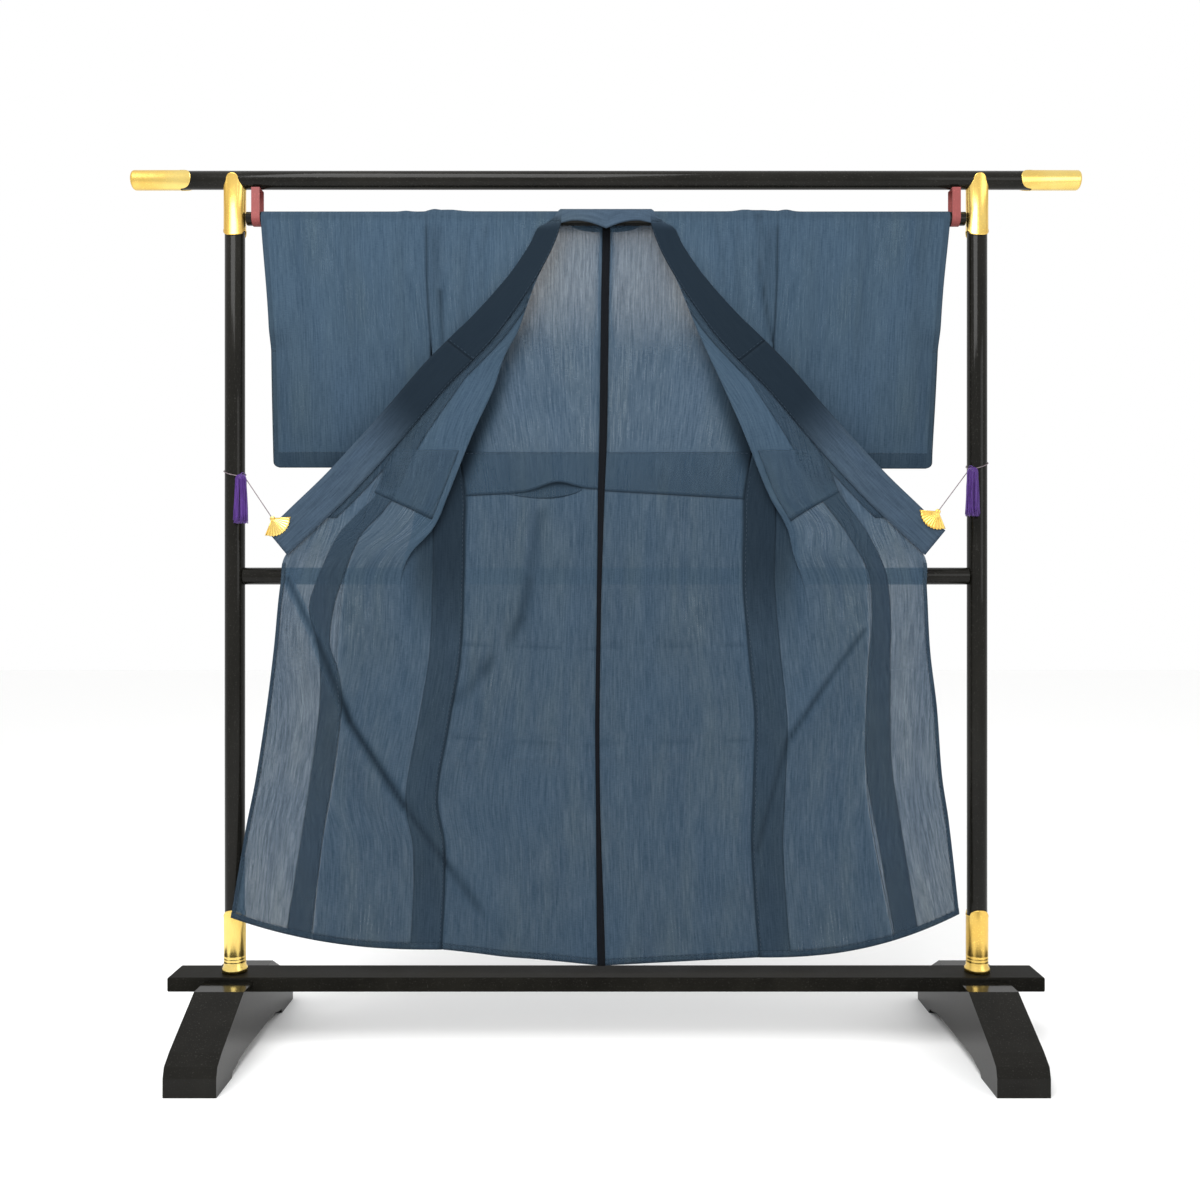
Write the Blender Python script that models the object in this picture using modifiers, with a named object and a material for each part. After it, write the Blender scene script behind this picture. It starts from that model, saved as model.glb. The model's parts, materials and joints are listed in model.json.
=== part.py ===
"""A sheer summer kimono, hung open over the rod of a lacquered kimono rack.

Metres, +Z up, floor at 0. The open front faces -Y, and left and right are as seen from there.
A place on hung cloth is given by its distance from the centre line and its drop, which is measured
along the cloth from the crest of the rod.
"""

import math
from collections import namedtuple

import bmesh
import bpy
from mathutils import Matrix, Vector

GAP = 0.0003
SIDES = {"left": -1, "right": 1}

# Rack
RAIL_LENGTH, RAIL_RADIUS, RAIL_Z = 1.82, 0.0175, 1.659
CAP_LENGTH, CAP_RADIUS, CAP_ROUNDING = 0.117, 0.0187, 0.006
POST_X, POST_RADIUS = 0.7135, 0.019
CROSS_Z, CROSS_RADIUS = 0.898, 0.0165
ROD_LENGTH, ROD_RADIUS, ROD_Z = 1.38, 0.013, 1.585
STRAP_X, STRAP_WIDTH, STRAP_THICKNESS = 0.670, 0.016, 0.0015
BASE_LENGTH, BASE_DEPTH, BASE_HEIGHT, BASE_TOP = 1.66, 0.080, 0.027, 0.138
BASE_ROUNDING = 0.003
FOOT_WIDTH = 0.092
NOTCH_HEIGHT, NOTCH_MARGIN = 0.060, 0.010
TOP_FERRULE = (1.548, 1.667)
BASE_FERRULE = (BASE_TOP + GAP, 0.260)
FERRULE_WALL = 0.0015
FLARE, FLARE_LOW, FLARE_HIGH = 0.003, 0.008, 0.012
ROUND_SIDES = 24
CUTTER_LENGTH = 0.1

# Half of a foot seen from the side, as distance from its middle and height: the flat top, the
# sloping shoulder, the pad and the shallow arch
FOOT_CORNERS = (
    (0.095, 0.130), (0.220, 0.067), (0.244, 0.051), (0.250, 0.033), (0.250, 0.000),
    (0.165, 0.000), (0.159, 0.010), (0.143, 0.011), (0.115, 0.018), (0.075, 0.020),
)

# Cloth
CLOTH = 0.001
COLLAR_THICKNESS = 0.003
HANG_RADIUS = ROD_RADIUS + GAP + CLOTH / 2
QUARTER = HANG_RADIUS * math.pi / 2
PARTING = QUARTER + GAP / 2
COLLAR_SEAT = 0.0009
COLLAR_OUT = CLOTH / 2 + COLLAR_SEAT + COLLAR_THICKNESS / 2
ON_PANEL = CLOTH + GAP
CHORD_PLAY = 0.0002
ARMHOLE = 0.25
SIDE_SEAM_TOP, SIDE_SEAM_CLOSING = 0.52, 0.06
OKUMI_TIP = 0.47
COLLAR_END = 0.67
NECK_HALF, NECK_DROP = 0.090, 0.030
BACK_COLUMNS = (0, 0.030, 0.0475, 0.0612, 0.0752, 0.0837, 0.0885, 0.0902, 0.13, 0.18, 0.23, 0.28)
TURN_LENGTH = 0.016
CENTRE_HEM = 1.451
LEVEL_FROM = 0.09
BACK_OUTER_SHARES = (0.93, 1)
HEM_RISE = {"left": 0.063, "right": 0.085}
RISE_POWER = 2.3

# Each row is a level of one front: distances from the centre line to the side edge, to the outer
# turn of the cloth, to the inner fold, to the okumi seam and to the collar seam or free edge.
FrontRow = namedtuple("FrontRow", "drop side turn fold okumi edge")
FRONT = {
    "left": (
        FrontRow(0.030, 0.344, 0.343, 0.088, 0.088, 0.0885),
        FrontRow(0.090, 0.344, 0.343, 0.107, 0.108, 0.1080),
        FrontRow(0.150, 0.343, 0.342, 0.131, 0.140, 0.1400),
        FrontRow(0.240, 0.337, 0.336, 0.158, 0.199, 0.1990),
        FrontRow(0.290, 0.330, 0.333, 0.184, 0.242, 0.2420),
        FrontRow(0.355, 0.318, 0.335, 0.206, 0.305, 0.3050),
        FrontRow(0.440, 0.292, 0.345, 0.245, 0.378, 0.3780),
        FrontRow(0.555, 0.270, 0.368, 0.291, 0.442, 0.4830),
        FrontRow(0.620, 0.270, 0.376, 0.320, 0.461, 0.5500),
        FrontRow(0.670, 0.270, 0.388, 0.366, 0.482, 0.6040),
        FrontRow(0.720, 0.271, 0.390, 0.389, 0.497, 0.6120),
        FrontRow(0.860, 0.277, 0.390, 0.400, 0.510, 0.6280),
        FrontRow(0.980, 0.297, 0.400, 0.410, 0.504, 0.6430),
        FrontRow(1.130, 0.321, 0.420, 0.430, 0.524, 0.6650),
        FrontRow(1.230, 0.306, 0.420, 0.430, 0.541, 0.6830),
        FrontRow(1.420, 0.313, 0.430, 0.440, 0.560, 0.7120),
    ),
    "right": (
        FrontRow(0.030, 0.329, 0.328, 0.092, 0.092, 0.0925),
        FrontRow(0.090, 0.328, 0.327, 0.110, 0.111, 0.1110),
        FrontRow(0.150, 0.327, 0.326, 0.133, 0.142, 0.1420),
        FrontRow(0.240, 0.322, 0.321, 0.165, 0.201, 0.2010),
        FrontRow(0.290, 0.317, 0.319, 0.187, 0.243, 0.2430),
        FrontRow(0.355, 0.308, 0.322, 0.217, 0.305, 0.3050),
        FrontRow(0.440, 0.288, 0.332, 0.254, 0.378, 0.3780),
        FrontRow(0.555, 0.266, 0.352, 0.300, 0.445, 0.4830),
        FrontRow(0.620, 0.264, 0.364, 0.336, 0.465, 0.5480),
        FrontRow(0.670, 0.262, 0.374, 0.349, 0.485, 0.5990),
        FrontRow(0.730, 0.262, 0.380, 0.374, 0.497, 0.6040),
        FrontRow(0.860, 0.273, 0.390, 0.400, 0.498, 0.6120),
        FrontRow(0.980, 0.284, 0.390, 0.400, 0.495, 0.6260),
        FrontRow(1.130, 0.280, 0.390, 0.400, 0.497, 0.6370),
        FrontRow(1.230, 0.277, 0.395, 0.405, 0.510, 0.6500),
        FrontRow(1.435, 0.292, 0.410, 0.420, 0.548, 0.6700),
    ),
}

# How far each of those lines lies in front of the plane of the rod
DepthRow = namedtuple("DepthRow", "drop side turn fold edge")
FRONT_DEPTH = (
    DepthRow(0.022, 0.0138, 0.0138, 0.0138, 0.0138),
    DepthRow(0.050, 0.0138, 0.0138, 0.0142, 0.0145),
    DepthRow(0.090, 0.0138, 0.0138, 0.0175, 0.0190),
    DepthRow(0.150, 0.0138, 0.0138, 0.0210, 0.0275),
    DepthRow(0.240, 0.0138, 0.0140, 0.0250, 0.0380),
    DepthRow(0.355, 0.0130, 0.0200, 0.0290, 0.0450),
    DepthRow(0.440, 0.0120, 0.0240, 0.0320, 0.0460),
    DepthRow(0.555, 0.0120, 0.0260, 0.0340, 0.0460),
    DepthRow(0.670, 0.0170, 0.0290, 0.0340, 0.0460),
    DepthRow(0.725, 0.0175, 0.0270, 0.0280, 0.0455),
    DepthRow(0.860, 0.0190, 0.0260, 0.0270, 0.0400),
    DepthRow(1.130, 0.0200, 0.0240, 0.0250, 0.0310),
    DepthRow(1.435, 0.0210, 0.0240, 0.0250, 0.0290),
)

# The back leaves the rod behind it and comes to lie against the front of the cross rail.
BackRow = namedtuple("BackRow", "drop centre forward")
BACK = (
    BackRow(0.022, 0.000, -0.0138),
    BackRow(0.060, 0.000, -0.0132),
    BackRow(0.150, -0.002, -0.0090),
    BackRow(0.300, -0.004, -0.0020),
    BackRow(0.440, -0.006, 0.0060),
    BackRow(0.560, -0.010, 0.0130),
    BackRow(0.660, -0.012, 0.0178),
    BackRow(0.760, -0.014, 0.0180),
    BackRow(1.040, -0.017, 0.0200),
    BackRow(1.452, -0.0095, 0.0210),
)

# Half of the collar, from the neck behind the rod to the tip: its sewn edge and its free edge.
# A drop below zero lies behind the rod.
CollarRow = namedtuple("CollarRow", "station sewn_x sewn_drop free_x free_drop")
COLLAR = (
    CollarRow(0.00, 0.000, -0.0420, 0.000, 0.0450),
    CollarRow(0.03, 0.030, -0.0410, 0.030, 0.0340),
    CollarRow(0.06, 0.060, -0.0340, 0.062, 0.0300),
    CollarRow(0.08, 0.079, -0.0160, 0.088, 0.0350),
    CollarRow(0.10, 0.084, 0.0080, 0.111, 0.0370),
    CollarRow(0.13, 0.087, 0.0400, 0.130, 0.0450),
    CollarRow(0.18, 0.105, 0.0900, 0.146, 0.0780),
    CollarRow(0.25, 0.137, 0.1500, 0.184, 0.1370),
    CollarRow(0.35, 0.196, 0.2400, 0.247, 0.2120),
    CollarRow(0.42, 0.238, 0.2900, 0.288, 0.2530),
    CollarRow(0.51, 0.301, 0.3550, 0.345, 0.3120),
    CollarRow(0.62, 0.374, 0.4400, 0.415, 0.3950),
    CollarRow(0.77, 0.479, 0.5550, 0.522, 0.5120),
    CollarRow(0.86, 0.546, 0.6200, 0.589, 0.5770),
    CollarRow(0.93, 0.600, 0.6700, 0.638, 0.6240),
)
OVER_COLLAR_END = 0.44
NECK_STATIONS = (-0.13, -0.06, 0.06, 0.13)

SleeveRow = namedtuple("SleeveRow", "drop outer hollow")
SLEEVE = {
    "left": (
        SleeveRow(0.000, 0.660, 1.00),
        SleeveRow(0.030, 0.660, 1.00),
        SleeveRow(0.215, 0.646, 0.95),
        SleeveRow(0.380, 0.642, 0.75),
        SleeveRow(0.467, 0.640, 0.35),
        SleeveRow(0.500, 0.632, 0.00),
    ),
    "right": (
        SleeveRow(0.000, 0.659, 1.00),
        SleeveRow(0.030, 0.658, 1.00),
        SleeveRow(0.175, 0.644, 0.95),
        SleeveRow(0.380, 0.633, 0.75),
        SleeveRow(0.467, 0.628, 0.35),
        SleeveRow(0.502, 0.622, 0.00),
    ),
}
CUFF_OPENING = 0.23
CUFF_PINCH = 0.06
SLEEVE_STRAIGHT, SLEEVE_EVEN_SHARE = 0.10, 0.8

# Soft ridges that run through the cloth: their ends, half-width and height
Crease = namedtuple("Crease", "x0 drop0 x1 drop1 width height")
CREASES = (
    Crease(-0.600, 0.73, -0.485, 1.02, 0.040, 0.010),
    Crease(-0.485, 1.02, -0.340, 1.24, 0.045, 0.012),
    Crease(-0.300, 1.26, -0.190, 1.40, 0.045, 0.009),
    Crease(-0.130, 0.60, -0.240, 0.85, 0.035, 0.008),
    Crease(0.480, 0.82, 0.344, 1.02, 0.045, 0.011),
    Crease(0.344, 1.02, 0.285, 1.28, 0.045, 0.009),
)
CREASE_TOP, CREASE_FADE = 0.67, 0.15

# Tucks: their upper edge, the lower edge at each end of the piece, how far the back's gape open,
# and how far they stop short of what lies beside them
TUCK_TOP = 0.471
BACK_TUCK = {"left": (0.540, 0.556, 0.009), "right": (0.545, 0.562, 0.002)}
FRONT_TUCK = {"left": (0.602, 0.552), "right": (0.606, 0.552)}
BACK_TUCK_MARGIN, BACK_TUCK_SHARES = 0.008, (0.020, 0.975)
FRONT_TUCK_MARGINS = (0.026, 0.004)
TAPE_TOP, TAPE_WIDTH, TAPE_NARROW = 0.045, 0.015, 0.008
TAPE_NARROWING, TAPE_WIDENING = (0.4, 0.8), (1.1, 1.4)

# Clips, with their tassels and cords
Clip = namedtuple("Clip", "x z tassel_x tassel_top wrap_z")
CLIPS = {
    "left": Clip(0.6275, 1.005, 0.6850, 1.0905, 1.102),
    "right": Clip(0.6240, 1.018, 0.6880, 1.1040, 1.118),
}
CLIP_STATION = 0.88
FAN_RADIUS, FAN_BACK_RADIUS, FAN_THICKNESS = 0.034, 0.024, 0.0015
FAN_APEX, FAN_START, FAN_END = 0.003, 4, -112
BOSS_RADIUS, BOSS_PROUD = 0.0045, 0.0003
CLIP_PLAY = 0.0005
CORD_RADIUS = 0.001
CORD_WRAP = POST_RADIUS + GAP + CORD_RADIUS + 0.0001
CORD_STEPS = 22
CORD_START = BOSS_RADIUS + 0.0009
CORD_LIFT = (0.15, 0.85)
TASSEL_RADIUS, TASSEL_LENGTH, TASSEL_HEAD, TASSEL_SHOULDER = 0.0112, 0.094, 0.013, 0.005
TASSEL_PLAY = 0.0002
KNOT_DROP = TASSEL_SHOULDER + 0.001
STRAND_RADIUS, STRAND_OVERLAP, STRAND_UNEVEN = 0.0011, 0.002, 0.004
STRAND_RINGS = ((0.0000, 1), (0.0034, 6), (0.0068, 12), (0.0101, 18))

MATERIALS = {
    "lacquer": ((0.012, 0.011, 0.009), 0.18, 0.0),
    "gold": ((0.86, 0.58, 0.20), 0.28, 1.0),
    "sheer cloth": ((0.048, 0.084, 0.138), 0.75, 0.0),
    "layered cloth": ((0.026, 0.044, 0.070), 0.72, 0.0),
    "tape": ((0.012, 0.016, 0.024), 0.8, 0.0),
    "red strap": ((0.45, 0.07, 0.06), 0.6, 0.0),
    "cord": ((0.55, 0.45, 0.42), 0.6, 0.0),
    "tassel silk": ((0.11, 0.035, 0.30), 0.5, 0.0),
}


def clear_scene():
    for obj in list(bpy.data.objects):
        bpy.data.objects.remove(obj, do_unlink=True)


def new_collection(name):
    collection = bpy.data.collections.new(name)
    bpy.context.scene.collection.children.link(collection)
    return collection


def finish_of(name):
    found = bpy.data.materials.get(name)
    if found:
        return found
    colour, roughness, metallic = MATERIALS[name]
    made = bpy.data.materials.new(name)
    made.use_nodes = True
    shader = made.node_tree.nodes["Principled BSDF"]
    shader.inputs["Base Color"].default_value = (*colour, 1.0)
    shader.inputs["Roughness"].default_value = roughness
    shader.inputs["Metallic"].default_value = metallic
    return made


def adopt(obj, name, finish):
    """Names an object, gives it its material and puts it in the part's collection."""
    obj.name = name
    obj.data.name = name
    obj.data.materials.clear()
    obj.data.materials.append(finish_of(finish))
    for collection in list(obj.users_collection):
        collection.objects.unlink(obj)
    bpy.data.collections["kimono_on_rack"].objects.link(obj)
    return obj


def as_cutter(obj, name):
    obj.name = name
    obj.hide_render = True
    obj.display_type = "WIRE"
    for collection in list(obj.users_collection):
        collection.objects.unlink(obj)
    bpy.data.collections["cutters"].objects.link(obj)
    return obj


def boolean(obj, other, operation="DIFFERENCE"):
    modifier = obj.modifiers.new(other.name, "BOOLEAN")
    modifier.operation = operation
    modifier.object = other


def bevel(obj, width, segments=2):
    modifier = obj.modifiers.new("rounded edges", "BEVEL")
    modifier.width = width
    modifier.segments = segments
    modifier.limit_method = "ANGLE"


def object_of(mesh, name):
    obj = bpy.data.objects.new(name, mesh)
    bpy.context.scene.collection.objects.link(obj)
    return obj


def cylinder(radius, length, location, rotation=(0, 0, 0), sides=ROUND_SIDES):
    bpy.ops.mesh.primitive_cylinder_add(
        vertices=sides, radius=radius, depth=length, location=location, rotation=rotation
    )
    return bpy.context.object


def bar_along_x(radius, length, z, sides=ROUND_SIDES):
    return cylinder(radius, length, (0, 0, z), (0, math.pi / 2, 0), sides)


def box(size, location):
    bpy.ops.mesh.primitive_cube_add(size=1, location=location)
    obj = bpy.context.object
    obj.data.transform(Matrix.Diagonal((*size, 1)))
    return obj


def turned(profile, closed=False):
    """Turns a profile of radius and height about Z, given down its outer side."""
    mesh = bpy.data.meshes.new("profile")
    edges = [(i, i + 1) for i in range(len(profile) - 1)]
    if closed:
        edges.append((len(profile) - 1, 0))
    mesh.from_pydata([(radius, 0, height) for radius, height in profile], edges, [])
    obj = object_of(mesh, "turned")
    screw = obj.modifiers.new("turn", "SCREW")
    screw.steps = screw.render_steps = ROUND_SIDES
    screw.use_merge_vertices = True
    screw.merge_threshold = 0.00001
    return obj


def outline_solid(outlines, thickness, matrix):
    """A flat outline, with any holes, as a plate of the given thickness."""
    curve = bpy.data.curves.new("outline", "CURVE")
    curve.dimensions = "2D"
    curve.fill_mode = "BOTH"
    curve.extrude = thickness / 2
    for points in outlines:
        spline = curve.splines.new("POLY")
        spline.points.add(len(points) - 1)
        spline.use_cyclic_u = True
        for point, (x, y) in zip(spline.points, points):
            point.co = (x, y, 0, 1)
    guide = object_of(curve, "outline")
    mesh = bpy.data.meshes.new_from_object(
        guide.evaluated_get(bpy.context.evaluated_depsgraph_get())
    )
    bpy.data.objects.remove(guide)
    shape = bmesh.new()
    shape.from_mesh(mesh)
    bmesh.ops.remove_doubles(shape, verts=shape.verts, dist=1e-6)
    bmesh.ops.recalc_face_normals(shape, faces=shape.faces)
    shape.to_mesh(mesh)
    shape.free()
    obj = object_of(mesh, "plate")
    obj.matrix_world = matrix
    return obj


def arc(centre, radius, start, end, steps):
    """Points on an arc, from one angle to another in degrees."""
    angles = [math.radians(start + (end - start) * i / steps) for i in range(steps + 1)]
    return [(centre[0] + radius * math.cos(a), centre[1] + radius * math.sin(a)) for a in angles]


def smooth_row(rows, place):
    """The row at a place between those of a table, on a smooth curve through them."""
    kind = type(rows[0])
    if place <= rows[0][0]:
        return kind(place, *rows[0][1:])
    if place >= rows[-1][0]:
        return kind(place, *rows[-1][1:])
    i = next(n for n in range(len(rows) - 1) if place <= rows[n + 1][0])
    before, after = rows[max(i - 1, 0)], rows[min(i + 2, len(rows) - 1)]
    a, b = rows[i], rows[i + 1]
    span = b[0] - a[0]
    t = (place - a[0]) / span
    values = []
    for p, q, r, s in zip(before[1:], a[1:], b[1:], after[1:]):
        leave = (r - p) / (b[0] - before[0]) * span
        arrive = (s - q) / (after[0] - a[0]) * span
        values.append(
            q * (2 * t**3 - 3 * t**2 + 1)
            + leave * (t**3 - 2 * t**2 + t)
            + r * (3 * t**2 - 2 * t**3)
            + arrive * (t**3 - t**2)
        )
    return kind(place, *values)


def ramp(value, low, high):
    t = min(max((value - low) / (high - low), 0), 1)
    return t * t * (3 - 2 * t)


def hang_height(drop):
    return ROD_Z + QUARTER - drop


def over_rod(x, drop, out=0.0):
    """A point of cloth on the rod, or straight below its front or, for a drop below zero, its back."""
    radius = HANG_RADIUS + out
    if abs(drop) <= QUARTER:
        angle = drop / HANG_RADIUS
        return Vector((x, -radius * math.sin(angle), ROD_Z + radius * math.cos(angle)))
    return Vector((x, -math.copysign(radius, drop), hang_height(abs(drop))))


def crease_forward(x, drop):
    """How far the soft ridges push the cloth forward at a place."""
    forward = 0.0
    for crease in CREASES:
        run = Vector((crease.x1 - crease.x0, crease.drop1 - crease.drop0))
        way = Vector((x - crease.x0, drop - crease.drop0))
        along = min(max(way.dot(run) / run.dot(run), 0), 1)
        away = (way - run * along).length / crease.width
        forward = max(forward, crease.height * math.exp(-away * away))
    return forward * ramp(drop, CREASE_TOP, CREASE_TOP + CREASE_FADE)


def back_forward(drop):
    return smooth_row(BACK, drop).forward


def rounded(corners, steps=4):
    """A path through corners, each turned on a short curve."""
    path = [corners[0]]
    for before, corner, after in zip(corners, corners[1:], corners[2:]):
        leave, arrive = before - corner, after - corner
        start = corner + leave.normalized() * min(TURN_LENGTH, 0.45 * leave.length)
        end = corner + arrive.normalized() * min(TURN_LENGTH, 0.45 * arrive.length)
        for i in range(steps + 1):
            t = i / steps
            path.append(start * (1 - t) ** 2 + corner * 2 * t * (1 - t) + end * t * t)
    path.append(corners[-1])
    return path


def walk(path, distance):
    """The point at a distance along a path."""
    for a, b in zip(path, path[1:]):
        length = (b - a).length
        if distance <= length and length > 0:
            return a.lerp(b, distance / length)
        distance -= length
    return path[-1].copy()


def front_section(side, drop):
    """A level's path from side edge to free edge, as distance out and forward, and two lengths.

    The lengths are those of the whole path and of the path to the okumi seam.
    """
    row = smooth_row(FRONT[side], drop)
    depth = smooth_row(FRONT_DEPTH, drop)
    sewn = ramp(drop, SIDE_SEAM_TOP - SIDE_SEAM_CLOSING, SIDE_SEAM_TOP)
    beside = row.side + GAP / 2 * (2 * ramp(drop, ARMHOLE, SIDE_SEAM_TOP) - 1)
    side_forward = depth.side * (1 - sewn) + back_forward(drop) * sewn
    corners = [
        Vector((beside, side_forward)),
        Vector((row.turn, depth.turn)),
        Vector((row.fold, depth.fold)),
        Vector((row.edge, depth.edge)),
    ]
    path = rounded(corners)
    length = sum((b - a).length for a, b in zip(path, path[1:]))
    share = (row.edge - row.okumi) / max(row.edge - row.fold, 0.001)
    okumi = length - share * (corners[3] - corners[2]).length
    return path, length, okumi


def front_place(side, drop, distance, section=None):
    """The point of a front at a drop and a distance along its level from the side edge."""
    path, length, _ = section or front_section(side, drop)
    out, forward = walk(path, min(max(distance, 0), length))
    x = SIDES[side] * out
    if drop <= QUARTER:
        return over_rod(x, drop)
    share = min(max(distance / length, 0), 1)
    hem = FRONT[side][-1].drop
    fall = ramp(drop, COLLAR_END, hem + 0.3) / ramp(hem, COLLAR_END, hem + 0.3)
    rise = HEM_RISE[side] * share**RISE_POWER * fall
    return Vector((x, -forward - crease_forward(x, drop), hang_height(drop) + rise))


def level_rows(side):
    """The drops, at the side edge, of the rows that a side's back, front and overlap share."""
    marks = (LEVEL_FROM, OKUMI_TIP, 0.76, FRONT[side][-1].drop)
    return stations(*marks, steps=(8, 6, 7))


def back_place(side, drop, share):
    """The point of a back, at a share of the way from the centre seam to the side.

    The drop is the one at the side edge, and the level sinks towards the centre of the hem.
    """
    if drop <= QUARTER:
        return over_rod(SIDES[side] * FRONT[side][0].side * share, -drop)
    side_hem = FRONT[side][-1].drop
    sink = (CENTRE_HEM / side_hem - 1) * ramp(drop, ARMHOLE, side_hem)
    level = drop * (1 + sink * (1 - share))
    edge = SIDES[side] * (smooth_row(FRONT[side], drop).side - GAP / 2)
    centre = smooth_row(BACK, level).centre + SIDES[side] * GAP / 2
    x = centre + (edge - centre) * share
    return Vector((x, -back_forward(level) - crease_forward(x, level), hang_height(level)))


def neck_edge(x):
    """The drop behind the rod at which a back begins: lower inside the neckline."""
    inside = 1 - min(abs(x) / NECK_HALF, 1) ** 2
    return max(NECK_DROP * math.sqrt(inside), PARTING)


def sheet(name, finish, columns, rows, place, thickness=CLOTH):
    """A cloth wall: a grid whose points a function puts in place, given its thickness."""
    shape = bmesh.new()
    bmesh.ops.create_grid(shape, x_segments=columns, y_segments=rows, size=1)
    for vertex in shape.verts:
        vertex.co = place((vertex.co.x + 1) / 2, (vertex.co.y + 1) / 2)
    mesh = bpy.data.meshes.new(name)
    shape.to_mesh(mesh)
    shape.free()
    mesh.shade_smooth()
    obj = adopt(object_of(mesh, name), name, finish)
    wall = obj.modifiers.new("wall", "SOLIDIFY")
    wall.thickness = thickness
    wall.offset = 0
    return obj


def stations(*marks, steps):
    """Values from mark to mark, each stretch cut into its own number of steps."""
    values = [marks[0]]
    for low, high, count in zip(marks, marks[1:], steps):
        values += [low + (high - low) * (i + 1) / count for i in range(count)]
    return values


def build_fronts():
    """The fronts reach over the rod to where the cloth leaves it behind, and there meet the backs."""
    over = stations(GAP / 2 - QUARTER, QUARTER, LEVEL_FROM, steps=(8, 2))
    for side in SIDES:
        drops = over[:-1] + level_rows(side)
        sections = {drop: front_section(side, drop) for drop in drops}
        okumi_drops = [drop for drop in drops if drop > OKUMI_TIP - GAP]

        def front(u, v):
            drop = drops[round(v * (len(drops) - 1))]
            _, length, okumi = sections[drop]
            end = okumi - GAP / 2 if drop >= okumi_drops[0] else length
            return front_place(side, drop, u * end, sections[drop])

        sheet(f"front_{side}", "sheer cloth", 14, len(drops) - 1, front)

        def okumi_panel(u, v):
            drop = okumi_drops[round(v * (len(okumi_drops) - 1))]
            _, length, okumi = sections[drop]
            start = okumi + GAP / 2
            return front_place(side, drop, start + u * (length - start), sections[drop])

        sheet(f"okumi_{side}", "sheer cloth", 4, len(okumi_drops) - 1, okumi_panel)


def build_backs():
    for side in SIDES:
        shares = [x / FRONT[side][0].side for x in BACK_COLUMNS] + [*BACK_OUTER_SHARES]
        levels = stations(PARTING, LEVEL_FROM, steps=(2,))[:-1] + level_rows(side)

        def back(u, v):
            share = shares[round(u * (len(shares) - 1))]
            level = levels[round(v * (len(levels) - 1))]
            top = neck_edge(share * FRONT[side][0].side)
            if level < LEVEL_FROM:
                level = top + (LEVEL_FROM - top) * (level - PARTING) / (LEVEL_FROM - PARTING)
            return back_place(side, level, share)

        sheet(f"back_{side}", "sheer cloth", len(shares) - 1, len(levels) - 1, back)


def build_tucks_and_tape():
    for side in SIDES:
        inner, outer, gape = BACK_TUCK[side]
        first = BACK_TUCK_MARGIN / smooth_row(FRONT[side], TUCK_TOP).side + BACK_TUCK_SHARES[0]

        def back_tuck(u, v):
            share = first + (BACK_TUCK_SHARES[1] - first) * u
            bottom = inner + (outer - inner) * share
            place = back_place(side, TUCK_TOP + (bottom - TUCK_TOP) * v, share)
            open_lip = gape * v * v * math.sin(math.pi * min(1.25 * u, 1)) ** 2
            return place + Vector((0, -ON_PANEL - open_lip, 0))

        sheet(f"back_tuck_{side}", "layered cloth", 10, 3, back_tuck)

        fold_bottom, seam_bottom = FRONT_TUCK[side]

        def front_tuck(u, v):
            bottom = fold_bottom + (seam_bottom - fold_bottom) * u
            drop = TUCK_TOP + (bottom - TUCK_TOP) * v
            section = front_section(side, drop)
            row = smooth_row(FRONT[side], drop)
            start = section[1] - (row.edge - row.fold) + FRONT_TUCK_MARGINS[0]
            distance = start + (section[2] - FRONT_TUCK_MARGINS[1] - start) * u
            out = Vector((0, -ON_PANEL - CHORD_PLAY, 0))
            return front_place(side, drop, distance, section) + out

        sheet(f"front_tuck_{side}", "layered cloth", 5, 3, front_tuck)

    levels = stations(TAPE_TOP, LEVEL_FROM, steps=(2,))[:-1] + level_rows("left")

    def tape(u, v):
        level = levels[round(v * (len(levels) - 1))]
        middle = ramp(level, *TAPE_NARROWING) * (1 - ramp(level, *TAPE_WIDENING))
        width = TAPE_WIDTH + (TAPE_NARROW - TAPE_WIDTH) * middle
        place = back_place("left", level, 0)
        return place + Vector(((u - 0.5) * width, -ON_PANEL - CHORD_PLAY, 0))

    sheet("back_seam_tape", "tape", 2, len(levels) - 1, tape)


def collar_place(sign, station, across, out=COLLAR_OUT):
    """The point of the collar's middle surface, from its sewn edge at 0 to its free edge at 1."""
    row = smooth_row(COLLAR, station)
    x = sign * (row.sewn_x + (row.free_x - row.sewn_x) * across)
    drop = row.sewn_drop + (row.free_drop - row.sewn_drop) * across
    place = over_rod(x, drop, out)
    if drop > QUARTER:
        place.y = -smooth_row(FRONT_DEPTH, drop).edge - out
    return place


def build_collar():
    for side, sign in SIDES.items():
        start, end = OVER_COLLAR_END + GAP / 2, COLLAR[-1].station

        def half(u, v):
            return collar_place(sign, start + (end - start) * v, u)

        sheet(f"collar_{side}", "layered cloth", 4, 16, half, COLLAR_THICKNESS)

    reach = OVER_COLLAR_END - GAP / 2
    marks = stations(-reach, *NECK_STATIONS, reach, steps=(6, 12, 6, 12, 6))

    def over(u, v):
        station = marks[round(v * (len(marks) - 1))]
        return collar_place(1 if station >= 0 else -1, abs(station), u)

    sheet("over_collar", "layered cloth", 12, len(marks) - 1, over, COLLAR_THICKNESS)


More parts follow.
